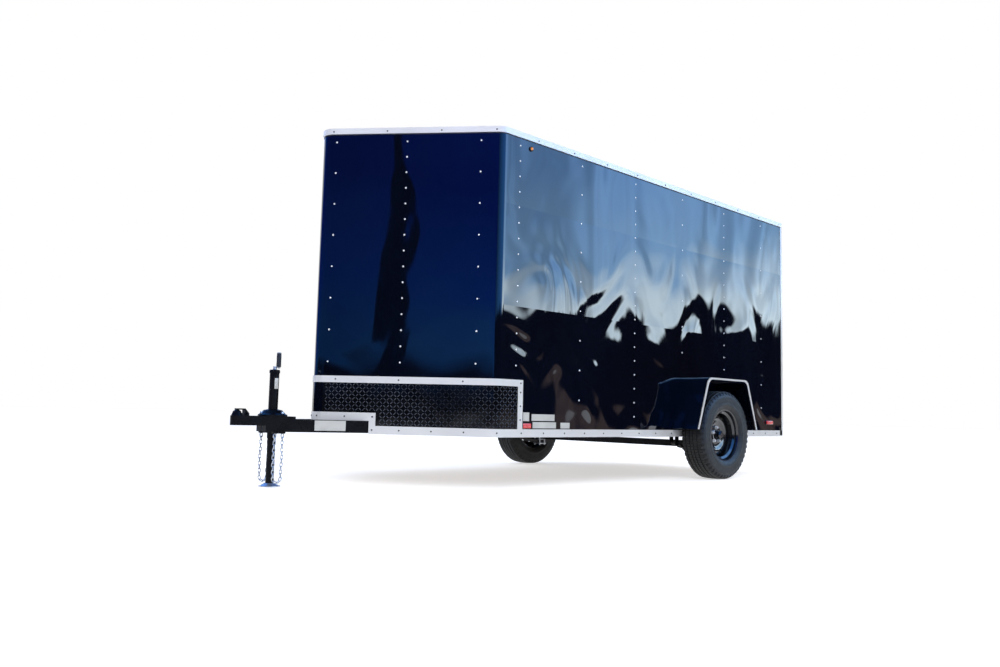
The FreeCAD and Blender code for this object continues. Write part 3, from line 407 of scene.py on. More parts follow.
def template(bm):
    mesh = bpy.data.meshes.new("template")
    bm.to_mesh(mesh)
    bm.free()
    return mesh


def both_sides(bm):
    """Add the mirror image on the other side of the middle plane."""
    geometry = bm.verts[:] + bm.edges[:] + bm.faces[:]
    bmesh.ops.mirror(bm, geom=geometry, matrix=Matrix.Identity(4), merge_dist=0.0, axis="X")


# Camera

CAMERA_PLACE = Vector((4.636, -4.720, 0.478))
CAMERA_AZIMUTH = 0.80973
CAMERA_ELEVATION = -0.09453
CAMERA_ROLL = 0.02377
azimuth_cos, azimuth_sin = math.cos(CAMERA_AZIMUTH), math.sin(CAMERA_AZIMUTH)
ahead = Vector((-azimuth_sin * math.cos(CAMERA_ELEVATION), azimuth_cos * math.cos(CAMERA_ELEVATION),
                -math.sin(CAMERA_ELEVATION)))
level = ahead.cross(Vector((0, 0, 1))).normalized()
above = level.cross(ahead)
right = math.cos(CAMERA_ROLL) * level + math.sin(CAMERA_ROLL) * above
up = -math.sin(CAMERA_ROLL) * level + math.cos(CAMERA_ROLL) * above
lens = bpy.data.cameras.new("camera")
lens.lens = 29.97
lens.sensor_width = 36
camera = bpy.data.objects.new("camera", lens)
scene.collection.objects.link(camera)
camera.matrix_world = Matrix((
    (right.x, up.x, -ahead.x, CAMERA_PLACE.x),
    (right.y, up.y, -ahead.y, CAMERA_PLACE.y),
    (right.z, up.z, -ahead.z, CAMERA_PLACE.z),
    (0, 0, 0, 1),
))
scene.camera = camera


# Safety chains: their routes are control points, (along the trailer, up) from the anchor's face

CHAIN_ROUTE = [
    (-0.025, 0.0), (-0.025, -0.072), (-0.029, -0.150), (-0.026, -0.226), (-0.025, -0.290),
    (0.025, -0.290), (0.023, -0.226), (0.028, -0.150), (0.025, -0.072), (0.025, 0.0),
]
LINK_LENGTH = 0.0325
LINK_WIDTH = 0.0205
LINK_WIRE = 0.0054


def link_template(length, width, wire, steps=16):
    bm = bmesh.new()
    bmesh.ops.create_circle(bm, segments=8, radius=wire / 2,
                            matrix=Matrix.Translation((width / 2 - wire / 2, 0, 0)))
    bmesh.ops.spin(bm, geom=bm.verts[:] + bm.edges[:], cent=(0, 0, 0), axis=(0, 1, 0),
                   angle=FULL_TURN, steps=steps, use_merge=True)
    for vert in bm.verts:
        if abs(vert.co.z) > 1e-6:
            vert.co.z += math.copysign((length - width) / 2, vert.co.z)
    return template(bm)


def route_points(name, x):
    """The chain's line, read from its own smooth spline."""
    curve = bpy.data.curves.new(name + "_line", "CURVE")
    curve.dimensions = "3D"
    curve.resolution_u = 12
    spline = curve.splines.new("NURBS")
    spline.points.add(len(CHAIN_ROUTE) - 1)
    top = low("chain_anchors").z
    for point, (along, drop) in zip(spline.points, CHAIN_ROUTE):
        point.co = (x, jack_y + along, top + drop, 1)
    spline.order_u = 3
    spline.use_endpoint_u = True
    line = bpy.data.objects.new(name + "_line", curve)
    scene.collection.objects.link(line)
    bpy.context.view_layer.update()
    mesh = bpy.data.meshes.new_from_object(line)
    points = [vert.co.copy() for vert in mesh.vertices]
    bpy.data.objects.remove(line)
    return points


def along_route(points, reach):
    """Place and direction at a length along a line of points."""
    for start, end in zip(points, points[1:]):
        step = (end - start).length
        if reach <= step or end is points[-1]:
            return start + (end - start) * (reach / step), (end - start).normalized()
        reach -= step


def make_chain(name, x):
    points = route_points(name, x)
    length = sum((b - a).length for a, b in zip(points, points[1:]))
    pitch = LINK_LENGTH - 2 * LINK_WIRE
    count = round(length / pitch) - 2
    spare = (length - (count - 1) * pitch) / 2
    bm = bmesh.new()
    places = []
    for index in range(count):
        at, way = along_route(points, spare + index * pitch)
        places.append(facing(at, way, math.pi / 4 + (index % 2) * math.pi / 2))
    stamp(bm, link_template(LINK_LENGTH, LINK_WIDTH, LINK_WIRE), places)
    shackle = link_template(0.034, 0.024, 0.007)
    ends = [along_route(points, 0.014), along_route(points, length - 0.014)]
    stamp(bm, shackle, [facing(at, way, math.pi / 2) for at, way in ends])
    made = piece(name + "_links", bm, zinc, crease=60)
    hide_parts(name)


chain_x = (centre("left_chain").x, centre("right_chain").x)
make_chain("left_chain", chain_x[0])
make_chain("right_chain", chain_x[1])


# Rivets and screws

RIVET_PITCH = 0.1016
STUD_PITCH = 0.6096
FIRST_STUD = corner_y + 0.1525
RIVET_TOP = cap_low - 0.053


def rivet_template(radius=0.0058, height=0.0028):
    bm = bmesh.new()
    bmesh.ops.create_uvsphere(bm, u_segments=12, v_segments=6, radius=1)
    bmesh.ops.bisect_plane(bm, geom=bm.verts[:] + bm.edges[:] + bm.faces[:], plane_co=(0, 0, 0),
                           plane_no=(0, 0, -1), clear_outer=True)
    bmesh.ops.scale(bm, vec=(radius, radius, height), verts=bm.verts)
    return template(bm)


def screw_template(radius=0.0052, height=0.0034):
    bm = bmesh.new()
    rod(bm, (0, 0, 0), (0, 0, 0.001), radius, 12)
    rod(bm, (0, 0, 0.001), (0, 0, height), radius * 0.72, 6, radius * 0.62)
    return template(bm)


def column(run, top, bottom, pitch, out=0.0):
    """Heads down one stud line."""
    count = int((top - bottom) / pitch) + 1
    made = []
    for index in range(count):
        at, way = skin_place(run, top - index * pitch, out)
        made.append(facing(at, way))
    return made


def side_columns():
    made = []
    for index in range(6):
        y = FIRST_STUD + index * STUD_PITCH
        pitch = RIVET_PITCH * (1 + index % 2)
        made.append((corner_mid.y - y, pitch))
    return made


def make_rivets():
    door_front = low("side_door_frame").y - 0.02
    door_back = high("side_door_frame").y + 0.02
    fender_front, fender_back = low("left_fender").y, high("left_fender").y
    fender_high = high("left_fender").z
    shape = rivet_template()
    heads = {"left": bmesh.new(), "right": bmesh.new()}
    for run, pitch in side_columns():
        y = corner_mid.y - run
        behind_fender = fender_front < y < fender_back
        bottom = fender_high + 0.03 if behind_fender else trim_top + 0.03
        stamp(heads["left"], shape, column(run, RIVET_TOP, bottom, pitch))
        if not door_front < y < door_back:
            stamp(heads["right"], shape, column(run, RIVET_TOP, bottom, pitch))
    guard_high = high("guard_trims").z
    for distance, pitch in ((0.1427, 2), (0.6220, 1), (1.0889, 2)):
        places = column(run_from_corner(distance), RIVET_TOP, guard_high + 0.05, pitch * RIVET_PITCH)
        stamp(heads["left"], shape, places)
        stamp(heads["right"], shape, places)
    bmesh.ops.scale(heads["right"], vec=(-1, 1, 1), verts=heads["right"].verts)
    piece("left_rivets", heads["left"], rivet_heads)
    piece("right_rivets", heads["right"], rivet_heads)


def make_screws():
    shape = screw_template()
    bm = bmesh.new()
    out = 0.007
    middle = (trim_low + trim_top) / 2
    side_run = corner_mid.y - low("rear_posts").y
    step_run = run_from_corner((corner_y - low("bottom_trims").y - out * along_x) / along_y)
    guard_run = corner_mid.y - (high("stone_guards").y + 0.021)
    spots = []
    run = side_run + 0.06
    while run < step_run - 0.02:
        spots.append((run, middle))
        run += 0.2032
    guard_top = (low("guard_trims").z + high("guard_trims").z) / 2
    guard_line = high("guard_trims").z - 0.021
    run = guard_run
    while run < nose_run - 0.05:
        spots.append((run, guard_line))
        run += 0.4064
    for share in (0.2, 0.5, 0.8):
        spots.append((guard_run, trim_top + (guard_line - trim_top) * share))
    tongue_line = high("tongue_trims").z - 0.025
    for along in (0.020, 0.022, 0.20, 0.38):
        spots.append((step_run + along, tongue_line))
    spots.append((step_run + 0.021, middle))
    for run, height in spots:
        at, way = skin_place(run, height, out)
        stamp(bm, shape, [facing(at, way)])
    cap_line = cap_low + 0.016
    run = side_run
    while run < nose_run:
        at, way = skin_place(run, cap_line, 0.006)
        stamp(bm, shape, [facing(at, way)])
        run += 0.3556
    both_sides(bm)
    piece("trim_screws", bm, spring_steel)


def ribbon(bm, runs, bottom, tall, out, thick):
    """A strip that follows the skin at a height."""
    verts = [bm.verts.new(skin_place(run, bottom, out)[0]) for run in runs]
    edges = [bm.edges.new(ends) for ends in zip(verts, verts[1:])]
    raised = bmesh.ops.extrude_edge_only(bm, edges=edges)
    moved = [item for item in raised["geom"] if isinstance(item, bmesh.types.BMVert)]
    bmesh.ops.translate(bm, vec=(0, 0, tall), verts=moved)
    bmesh.ops.recalc_face_normals(bm, faces=bm.faces)
    bmesh.ops.solidify(bm, geom=bm.faces[:], thickness=thick)


def whole_run():
    """Runs round the left half of the box, close together on its bends."""
    runs = [corner_mid.y - rear_y + 0.001, -0.001]
    runs += [corner_run * step / 10 for step in range(11)]
    runs += [face_run + (nose_run - face_run) * step / 10 for step in range(11)]
    return runs


def make_cap_shade_strip():
    # A black grip_black strip just under the cap's lip: painted shade for the dark gap where the skin meets the cap.
    bm = bmesh.new()
    ribbon(bm, whole_run(), cap_low - 0.007, 0.0068, 0.0012, 0.0010)
    both_sides(bm)
    piece("cap_shade_strip", bm, grip_black)


make_rivets()
make_screws()
make_cap_shade_strip()


# Diamond plate on the stone guards

def diamond_template(length=0.0235, width=0.0066, height=0.0014):
    bm = bmesh.new()
    bmesh.ops.create_circle(bm, cap_ends=True, segments=6, radius=0.5)
    bmesh.ops.scale(bm, vec=(width, length, 1), verts=bm.verts)
    raised = bmesh.ops.extrude_face_region(bm, geom=bm.faces[:])
    crown = [item for item in raised["geom"] if isinstance(item, bmesh.types.BMVert)]
    bmesh.ops.translate(bm, vec=(0, 0, height), verts=crown)
    bmesh.ops.scale(bm, vec=(0.72, 0.45, 1), verts=crown)
    return template(bm)


def make_diamonds():
    shape = diamond_template()
    cell = 0.0222
    guard_out = 0.003
    start = corner_mid.y - high("stone_guards").y + 0.012
    top = high("guard_trims").z - 0.042 - 0.010
    step_run = run_from_corner((corner_y - low("bottom_trims").y - 0.0054) / along_y)
    places = []
    across = 0
    run = start
    while run < face_run - 0.004:
        floor = trim_top if run < step_run - 0.010 else high("tongue_trims").z
        row = 0
        height = top
        while height > floor + 0.008:
            at, way = skin_place(run, height, guard_out)
            lean = math.pi / 4 if (across + row) % 2 else -math.pi / 4
            places.append(facing(at, way, lean))
            row += 1
            height -= cell
        across += 1
        run += cell
    bm = bmesh.new()
    stamp(bm, shape, places)
    both_sides(bm)
    piece("guard_diamonds", bm, guard_ridges, crease=20)


make_diamonds()


# Wheels

def make_wheel(side):
    body = side + "_wheel"
    at = centre(side + "_tyre")
    out = Vector((1 if side == "left" else -1, 0, 0))
    tread = [(x, 0.3365 - 0.6 * x * x) for x in
             (-0.080, -0.053, -0.046, -0.018, -0.011, 0.011, 0.018, 0.046, 0.053, 0.080)]
    wall = [(0.0885, 0.3250), (0.0960, 0.3120), (0.1000, 0.3000), (0.1012, 0.2960), (0.1008, 0.2925),
            (0.1022, 0.2780), (0.1024, 0.2620), (0.1010, 0.2450), (0.1022, 0.2420), (0.1018, 0.2385),
            (0.0985, 0.2260), (0.0925, 0.2120), (0.0860, 0.2020), (0.0840, 0.1990), (0.0780, 0.1930)]
    outline = [(-x, r) for x, r in reversed(wall)] + tread + wall
    bm = bmesh.new()
    turned(bm, outline, at, out, 96)
    bmesh.ops.recalc_face_normals(bm, faces=bm.faces)
    blocks = []
    lugs = []
    for face in bm.faces:
        spot = face.calc_center_median() - at
        across = abs(spot.dot(out))
        radius = math.hypot(spot.y, spot.z)
        turn = math.atan2(spot.z, spot.y) % FULL_TURN
        wide = max(abs((vert.co - face.calc_center_median()).dot(out)) for vert in face.verts)
        if radius > 0.330 and across < 0.08 and wide > 0.008:
            blocks.append(face)
        elif 0.3150 < radius <= 0.330 and int(turn / FULL_TURN * 96) % 2:
            lugs.append(face)
    bmesh.ops.inset_individual(bm, faces=blocks, thickness=0.0022, depth=0.0063, use_even_offset=True)
    bmesh.ops.inset_individual(bm, faces=lugs, thickness=0.0014, depth=0.0048, use_even_offset=True)
    tyre = piece(side + "_tyre_tread", bm, tyre_rubber, body, 28)
    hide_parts(side + "_tyre")

    bm = bmesh.new()
    turned(bm, [
        (0.0800, 0.2000), (0.0840, 0.1985), (0.0835, 0.1920), (0.0720, 0.1860), (0.0580, 0.1840),
        (0.0460, 0.1680), (-0.0500, 0.1680), (-0.0620, 0.1840), (-0.0760, 0.1860), (-0.0840, 0.1940),
        (-0.0800, 0.2000), (-0.0760, 0.1925), (-0.0580, 0.1900), (-0.0460, 0.1750), (0.0420, 0.1750),
        (0.0540, 0.1900), (0.0770, 0.1925),
    ], at, out, 96)
    disc = bmesh.new()
    turned(disc, [(-0.012, 0.170), (0.002, 0.162), (0.012, 0.148), (0.013, 0.126), (0.007, 0.108),
                  (-0.001, 0.094), (-0.003, 0.078), (-0.003, 0.036)], at, out, 40, closed=False)
    windows = []
    for face in disc.faces:
        spot = face.calc_center_median() - at
        radius = math.hypot(spot.y, spot.z)
        turn = int((math.atan2(spot.z, spot.y) % FULL_TURN) / FULL_TURN * 40)
        if 0.128 < radius < 0.147 and turn % 5 in (1, 2):
            windows.append(face)
    bmesh.ops.inset_region(disc, faces=windows, thickness=0.004, use_even_offset=True)
    bmesh.ops.delete(disc, geom=windows, context="FACES")
    bmesh.ops.recalc_face_normals(disc, faces=disc.faces)
    bmesh.ops.solidify(disc, geom=disc.faces[:], thickness=0.0045)
    stamp(bm, template(disc), [Matrix.Identity(4)])
    rim = piece(side + "_wheel_disc", bm, wheel_black, body, 40)
    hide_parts(side + "_rim")

    bm = bmesh.new()
    turned(bm, [(-0.004, 0.0), (-0.004, 0.041), (0.003, 0.041), (0.006, 0.034), (0.030, 0.0315),
                (0.044, 0.0285), (0.051, 0.0215), (0.055, 0.010), (0.0558, 0.0)], at, out, 40)
    piece(side + "_hub_cap", bm, nut_bright, body, 30)

    bm = bmesh.new()
    for index in range(5):
        turn = FULL_TURN * index / 5 + 0.3
        spot = at + Vector((0, math.cos(turn), math.sin(turn))) * 0.05715
        rod(bm, spot - out * 0.006, spot + out * 0.003, 0.0125, 20, 0.0135)
        rod(bm, spot + out * 0.003, spot + out * 0.018, 0.0112, 6)
        rod(bm, spot + out * 0.018, spot + out * 0.0245, 0.0100, 12, 0.0045)
    piece(side + "_wheel_nuts", bm, nut_bright, body, 30)


make_wheel("left")
make_wheel("right")


# Fenders: folded sheet with rounded folds, and a bright moulding along its outer edge

FENDER_RUN = 0.143
FENDER_FOLD = 0.045
FENDER_LIP = 0.034
MOULDING = 0.017


def fender_line(bm, x):
    """The fender's edge line with rounded folds, at one place across the trailer."""
    box_low, box_high = low("left_fender"), high("left_fender")
    middle = (box_low.y + box_high.y) / 2
    half_low = (box_high.y - box_low.y) / 2
    half_high = half_low - FENDER_RUN
    points = [(-half_low, box_low.z), (-half_high, box_high.z), (half_high, box_high.z), (half_low, box_low.z)]
    verts = [bm.verts.new((x, middle + y, z)) for y, z in points]
    for ends in zip(verts, verts[1:]):
        bm.edges.new(ends)
    bmesh.ops.bevel(bm, geom=verts[1:3], offset=FENDER_FOLD, offset_type="OFFSET", affect="VERTICES",
                    segments=6, profile=0.5, material=-1)
    return bm.edges[:]


def raised_parts(made, kind):
    return [item for item in made["geom"] if isinstance(item, kind)]


def bent_sheet(x, across, lip, thick):
    """A sheet along the fender's line, with a lip turned in at its outer edge."""
    bm = bmesh.new()
    spread = bmesh.ops.extrude_edge_only(bm, edges=fender_line(bm, x))
    moved = raised_parts(spread, bmesh.types.BMVert)
    bmesh.ops.translate(bm, vec=(across, 0, 0), verts=moved)
    outer = [edge for edge in raised_parts(spread, bmesh.types.BMEdge)
             if all(vert in set(moved) for vert in edge.verts)]
    turned_in = raised_parts(bmesh.ops.extrude_edge_only(bm, edges=outer), bmesh.types.BMVert)
    middle, base = centre("left_fender").y, low("left_fender").z
    flat = (high("left_fender").y - low("left_fender").y) / 2 - FENDER_RUN
    for vert in turned_in:
        away = vert.co.y - middle
        vert.co.y -= math.copysign(lip, away) * min(1.0, abs(away) / flat)
        if vert.co.z > base + 0.02:
            vert.co.z -= lip * 0.8
    bmesh.ops.recalc_face_normals(bm, faces=bm.faces)
    bmesh.ops.solidify(bm, geom=bm.faces[:], thickness=thick)
    return template(bm)


def make_fenders():
    out_x = high("left_fender").x
    sheet = bent_sheet(side_x + 0.0005, out_x - side_x - 0.004, FENDER_LIP, 0.003)
    edging = bent_sheet(out_x - 0.010, 0.009, MOULDING, 0.002)
    for side, mirrored in (("left", 1), ("right", -1)):
        flip = Matrix.Diagonal((mirrored, 1, 1, 1))
        bm = bmesh.new()
        stamp(bm, sheet, [flip])
        made = piece(side + "_fender_sheet", bm, nose_skin, crease=25)
        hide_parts(side + "_fender")
        bm = bmesh.new()
        stamp(bm, edging, [flip])
        piece(side + "_fender_moulding", bm, bright_trim, crease=40)


make_fenders()


# Lights

def make_lights():
    lamps = bmesh.new()
    rims = bmesh.new()
    middle = centre("side_markers")
    at = Vector((side_x, middle.y, middle.z))
    turned(rims, [(0, 0.0165), (0, 0.0105), (0.007, 0.0105), (0.0085, 0.0125), (0.007, 0.0160)],
           at, (1, 0, 0), 28)
    turned(lamps, [(0, 0), (0, 0.0105), (0.008, 0.0102), (0.0125, 0.0080), (0.0150, 0.0045),
                   (0.0158, 0)], at, (1, 0, 0), 28)
    both_sides(rims)
    both_sides(lamps)
    piece("marker_grommets", rims, grip_black)
    made = piece("marker_lenses", lamps, lens_amber)
    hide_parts("side_markers")

    lamps = bmesh.new()
    box_low, box_high = low("rear_side_markers"), high("rear_side_markers")
    start = Vector((side_x + 0.004, box_low.y + 0.004, box_low.z + 0.004))
    block(lamps, start, (box_high.x, box_high.y - 0.004, box_high.z - 0.004), 0.005)
    both_sides(lamps)
    made = piece("rear_marker_lenses", lamps, lens_red)
    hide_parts("rear_side_markers")
    rims = bmesh.new()
    block(rims, (side_x, box_low.y, box_low.z), (side_x + 0.006, box_high.y, box_high.z), 0.002)
    both_sides(rims)
    piece("rear_marker_bases", rims, grip_black)
    front = bmesh.new()
    start = Vector((side_x + 0.0002, high("guard_trims").y + 0.012, trim_top + 0.006))
    block(front, start, start + Vector((0.005, 0.070, 0.030)), 0.0015)
    both_sides(front)
    # The reflectors take the glowing red lens finish: their faint glow is painted light, as they hold no lamp.
    piece("front_reflectors", front, lens_red)

    lamps = bmesh.new()
    box_low, box_high = low("tail_lights"), high("tail_lights")
    inner_x = side_x - 0.052
    block(lamps, (inner_x + 0.004, rear_y + 0.004, box_low.z + 0.004),
          (box_high.x - 0.004, box_high.y, box_high.z - 0.004), 0.007)
    both_sides(lamps)
    made = piece("tail_lenses", lamps, lens_red)
    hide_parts("tail_lights")
    rims = bmesh.new()
    block(rims, (inner_x, rear_y, box_low.z), (box_high.x, rear_y + 0.008, box_high.z), 0.003)
    both_sides(rims)
    piece("tail_light_bases", rims, grip_black)


make_lights()


# Rear corner trims, ramp door trims and the linings

def make_rear():
    bm = bmesh.new()
    thick = 0.0025
    block(bm, (side_x, rear_y - 0.022, trim_top), (side_x + thick, rear_y + thick, cap_low), 0.0008)
    block(bm, (side_x - 0.030, rear_y, trim_top), (side_x + thick, rear_y + thick, cap_low), 0.0008)
    both_sides(bm)
    piece("rear_corner_trims", bm, bright_trim)

    panel_low, panel_high = low("ramp_panel"), high("ramp_panel")
    bm = bmesh.new()
    edge = 0.030
    top = rear_y + 0.0022
    x, z0, z1 = panel_high.x, panel_low.z, panel_high.z
    block(bm, (x - edge, rear_y, z0 + 0.062), (x, top, z1), 0.0007)
    both_sides(bm)
    block(bm, (-x + edge, rear_y, z1 - edge), (x - edge, top, z1), 0.0007)
    piece("ramp_edge_trims", bm, bright_trim, "ramp_door")
    bm = bmesh.new()
    inner_y = panel_low.y
    gap = 0.0015
    for start, end in ((-x + 0.02, -gap), (gap, x - 0.02)):
        block(bm, (start, inner_y - 0.009, z0 + 0.02), (end, inner_y, z1 - 0.02), 0.0012)
    piece("ramp_lining", bm, plywood, "ramp_door")

    door_low, door_high = low("side_door_panel"), high("side_door_panel")
    bm = bmesh.new()
    block(bm, (door_high.x, door_low.y + 0.02, door_low.z + 0.02),
          (door_high.x + 0.0028, door_high.y - 0.03, door_high.z - 0.02), 0.0008)
    piece("side_door_lining", bm, plywood, "side_door")


def make_linings():
    """Plywood inside the walls, in sheets that meet on the studs, and roof bows above."""
    inside = side_x - WALL
    thick = 0.006
    deck = high("floor_deck").z
    top = cap_low - 0.055
    front, back = low("left_wall").y + 0.01, low("rear_posts").y - 0.003
    gap = 0.001
    bm = bmesh.new()
    sheets = 3
    length = (back - front) / sheets
    for index in range(sheets):
        start = front + index * length
        block(bm, (inside - thick, start + gap, deck + 0.002), (inside, start + length - gap, top), 0.0008)
    piece("left_lining", bm, plywood)
    bm = bmesh.new()
    door_front, door_back = low("side_door_panel").y - 0.008, high("side_door_panel").y + 0.008
    door_low, door_high = low("side_door_panel").z - 0.008, high("side_door_panel").z + 0.008
    x = -inside
    block(bm, (x, front, deck + 0.002), (x + thick, door_front, top), 0.0008)
    block(bm, (x, door_back, deck + 0.002), (x + thick, door_back + 1.18, top), 0.0008)
    block(bm, (x, door_back + 1.18 + gap, deck + 0.002), (x + thick, back, top), 0.0008)
    block(bm, (x, door_front + gap, door_high), (x + thick, door_back - gap, top), 0.0008)
    piece("right_lining", bm, plywood)
    bm = bmesh.new()
    for start, end in ((run_from_corner(0.06), run_from_corner(0.60)), (run_from_corner(0.602), face_run - 0.01)):
        first, way = skin_place(start, 0, -WALL)
        last, way = skin_place(end, 0, -WALL)
        run = last - first
        turn = Matrix.Rotation(math.atan2(run.y, run.x), 4, "Z")
        middle = (first + last) / 2 - way * thick / 2
        half = Vector((run.length / 2, thick / 2, (top - deck - 0.002) / 2))
        middle.z = (top + deck + 0.002) / 2
        block(bm, middle - half, middle + half, 0.0008, turn)
    both_sides(bm)
    piece("nose_linings", bm, plywood)
    bm = bmesh.new()
    count = 6
    for index in range(count):
        y = FIRST_STUD + index * STUD_PITCH
        block(bm, (-inside + 0.008, y - 0.019, cap_low - 0.042), (inside - 0.008, y + 0.019, cap_low - 0.0005), 0.004)
    piece("roof_bows", bm, zinc)
    bm = bmesh.new()
    for x in (inside - 0.012,):
        block(bm, (x - 0.006, front, top + 0.0005), (x + 0.012, back, top + 0.034), 0.002)
        block(bm, (x - 0.006, front, deck + 0.0005), (x + 0.005, back, deck + 0.05), 0.003)
    piece("left_coves", bm, bright_trim)


make_rear()
make_linings()


# Tongue, jack and coupler details, and the blank plates

def label(bm, run, height, width, tall, out=0.0008):
    """A thin blank plate on the skin."""
    at, way = skin_place(run, height)
    shape = (Matrix.Translation(at + way * out / 2) @ Matrix.Rotation(math.atan2(way.y, way.x), 4, "Z")
             @ Matrix.Diagonal((out, width, tall, 1)))
    bmesh.ops.create_cube(bm, size=1, matrix=shape)


def make_plates():
    bm = bmesh.new()
    guard_end = high("guard_trims").y
    base = trim_top + 0.006
    for start, bottom, width, tall in (
        (0.012, 0.045, 0.055, 0.055), (0.090, 0.048, 0.215, 0.042), (0.100, 0.0, 0.220, 0.040),
        (0.365, 0.0, 0.090, 0.038),
    ):
        y = guard_end + start + width / 2
        label(bm, corner_mid.y - y, base + bottom + tall / 2, width, tall)
    piece("side_blank_plates", bm, blank_plate)
    bm = bmesh.new()
    tube_low, tube_high = low("tongue_tubes"), high("tongue_tubes")
    lean = math.atan(0.40403)
    width = 0.190
    y = corner_y - NOSE_DEPTH + 0.02
    x = 0.060 + 0.0275 + (y - jack_y) * 0.40403 + 0.0004
    shape = (Matrix.Translation((x, y, (tube_low.z + tube_high.z) / 2 + 0.004))
             @ Matrix.Rotation(-lean, 4, "Z") @ Matrix.Diagonal((0.0012, width, 0.062, 1)))
    bmesh.ops.create_cube(bm, size=1, matrix=shape)
    piece("tongue_blank_plate", bm, blank_plate)


COUPLER_HEIGHT = 0.057
CRANK_THROW = 0.110
CRANK_TURN = math.radians(50)
GRIP_LENGTH = 0.092


def make_jack_details():
    at = Vector((0, jack_y, 0))
    top = high("jack_tube").z
    grip_at = at + Vector((-math.sin(CRANK_TURN), math.cos(CRANK_TURN), 0)) * CRANK_THROW
    grip_top = high("jack_crank").z
    bm = bmesh.new()
    turned(bm, [(grip_top - GRIP_LENGTH + 0.002, 0.0), (grip_top - GRIP_LENGTH + 0.002, 0.0138),
                (grip_top - GRIP_LENGTH + 0.008, 0.0150), (grip_top - 0.055, 0.0140),
                (grip_top - 0.030, 0.0146), (grip_top - 0.006, 0.0138), (grip_top + 0.0012, 0.0100),
                (grip_top + 0.0012, 0.0)], grip_at, (0, 0, 1), 32)
    piece("crank_grip", bm, grip_black, crease=50)
    bm = bmesh.new()
    turned(bm, [(top + 0.0002, 0.0), (top + 0.0002, 0.0278), (top - 0.020, 0.0278), (top - 0.0195, 0.0318),
                (top - 0.004, 0.0318), (top + 0.001, 0.0285), (top + 0.0025, 0.014), (top + 0.0025, 0.0)],
           at, (0, 0, 1), 40)
    piece("jack_top_cap", bm, frame_black)
    bm = bmesh.new()
    for turn in (0.4, 2.5, 4.6):
        spot = at + Vector((math.cos(turn), math.sin(turn), 0)) * 0.071
        base = low("coupler").z + COUPLER_HEIGHT + 0.0150
        rod(bm, spot + Vector((0, 0, base)), spot + Vector((0, 0, base + 0.003)), 0.0125, 20)
        rod(bm, spot + Vector((0, 0, base + 0.003)), spot + Vector((0, 0, base + 0.0115)), 0.0095, 6, 0.0085)
    piece("jack_flange_bolts", bm, zinc)
    bm = bmesh.new()
    block(bm, (0.0275, jack_y - 0.012, top - 0.115), (0.0292, jack_y + 0.012, top - 0.050), 0.0005)
    piece("jack_blank_plate", bm, blank_plate)


make_plates()
make_jack_details()


# Floor, light and background

def stage_piece(name, bm):
    mesh = bpy.data.meshes.new(name)
    bm.to_mesh(mesh)
    bm.free()
    made = bpy.data.objects.new(name, mesh)
    scene.collection.objects.link(made)
    return made


def seen_straight(tree):
    """1 for rays that show the background itself: camera, glossy and transmission rays."""
    path = tree.nodes.new("ShaderNodeLightPath")
    total = path.outputs["Is Camera Ray"]
    for name in ("Is Glossy Ray", "Is Transmission Ray"):
        add = tree.nodes.new("ShaderNodeMath")
        add.operation = "ADD"
        add.use_clamp = True
        tree.links.new(total, add.inputs[0])
        tree.links.new(path.outputs[name], add.inputs[1])
        total = add.outputs[0]
    return total


def make_floor():
    bm = bmesh.new()
    bmesh.ops.create_grid(bm, x_segments=1, y_segments=1, size=60)
    floor = stage_piece("floor", bm)
    made = Finish("pale_floor", Roughness=0.9)
    made.colours(made.noise(0.4, 3), [(0.3, (0.86, 0.86, 0.865)), (0.7, (0.89, 0.89, 0.892))])
    glow = made.node("ShaderNodeEmission", Color=(1, 1, 1, 1), Strength=0.56)
    add = made.node("ShaderNodeAddShader")
    mix = made.node("ShaderNodeMixShader")
    output = made.tree.nodes["Material Output"]
    made.tree.links.new(made.shader.outputs[0], add.inputs[0])
    made.tree.links.new(glow.outputs[0], add.inputs[1])
    made.tree.links.new(seen_straight(made.tree), mix.inputs[0])
    made.tree.links.new(made.shader.outputs[0], mix.inputs[1])
    made.tree.links.new(add.outputs[0], mix.inputs[2])
    made.tree.links.new(mix.outputs[0], output.inputs["Surface"])
    floor.data.materials.append(made.material)


def make_world():
    world = bpy.data.worlds.new("studio")
    world.use_nodes = True
    tree = world.node_tree
    output = tree.nodes["World Output"]
    soft = tree.nodes["Background"]
    soft.inputs["Color"].default_value = (0.90, 0.95, 1.0, 1)
    soft.inputs["Strength"].default_value = 0.55
    white = tree.nodes.new("ShaderNodeBackground")
    white.inputs["Color"].default_value = (1, 1, 1, 1)
    white.inputs["Strength"].default_value = 1.0
    mix = tree.nodes.new("ShaderNodeMixShader")
    tree.links.new(seen_straight(tree), mix.inputs[0])
    tree.links.new(soft.outputs[0], mix.inputs[1])
    tree.links.new(white.outputs[0], mix.inputs[2])
    tree.links.new(mix.outputs[0], output.inputs["Surface"])
    scene.world = world


def softbox(name, at, aim, width, height, power, colour):
    lamp = bpy.data.lights.new(name, "AREA")
    lamp.shape = "RECTANGLE"
    lamp.size = width
    lamp.size_y = height
    lamp.energy = power
    lamp.color = colour
    made = bpy.data.objects.new(name, lamp)
    scene.collection.objects.link(made)
    way = Vector(aim) - Vector(at)
    made.matrix_world = Matrix.Translation(at) @ way.to_track_quat("-Z", "Y").to_matrix().to_4x4()
    made.visible_glossy = False
    return made


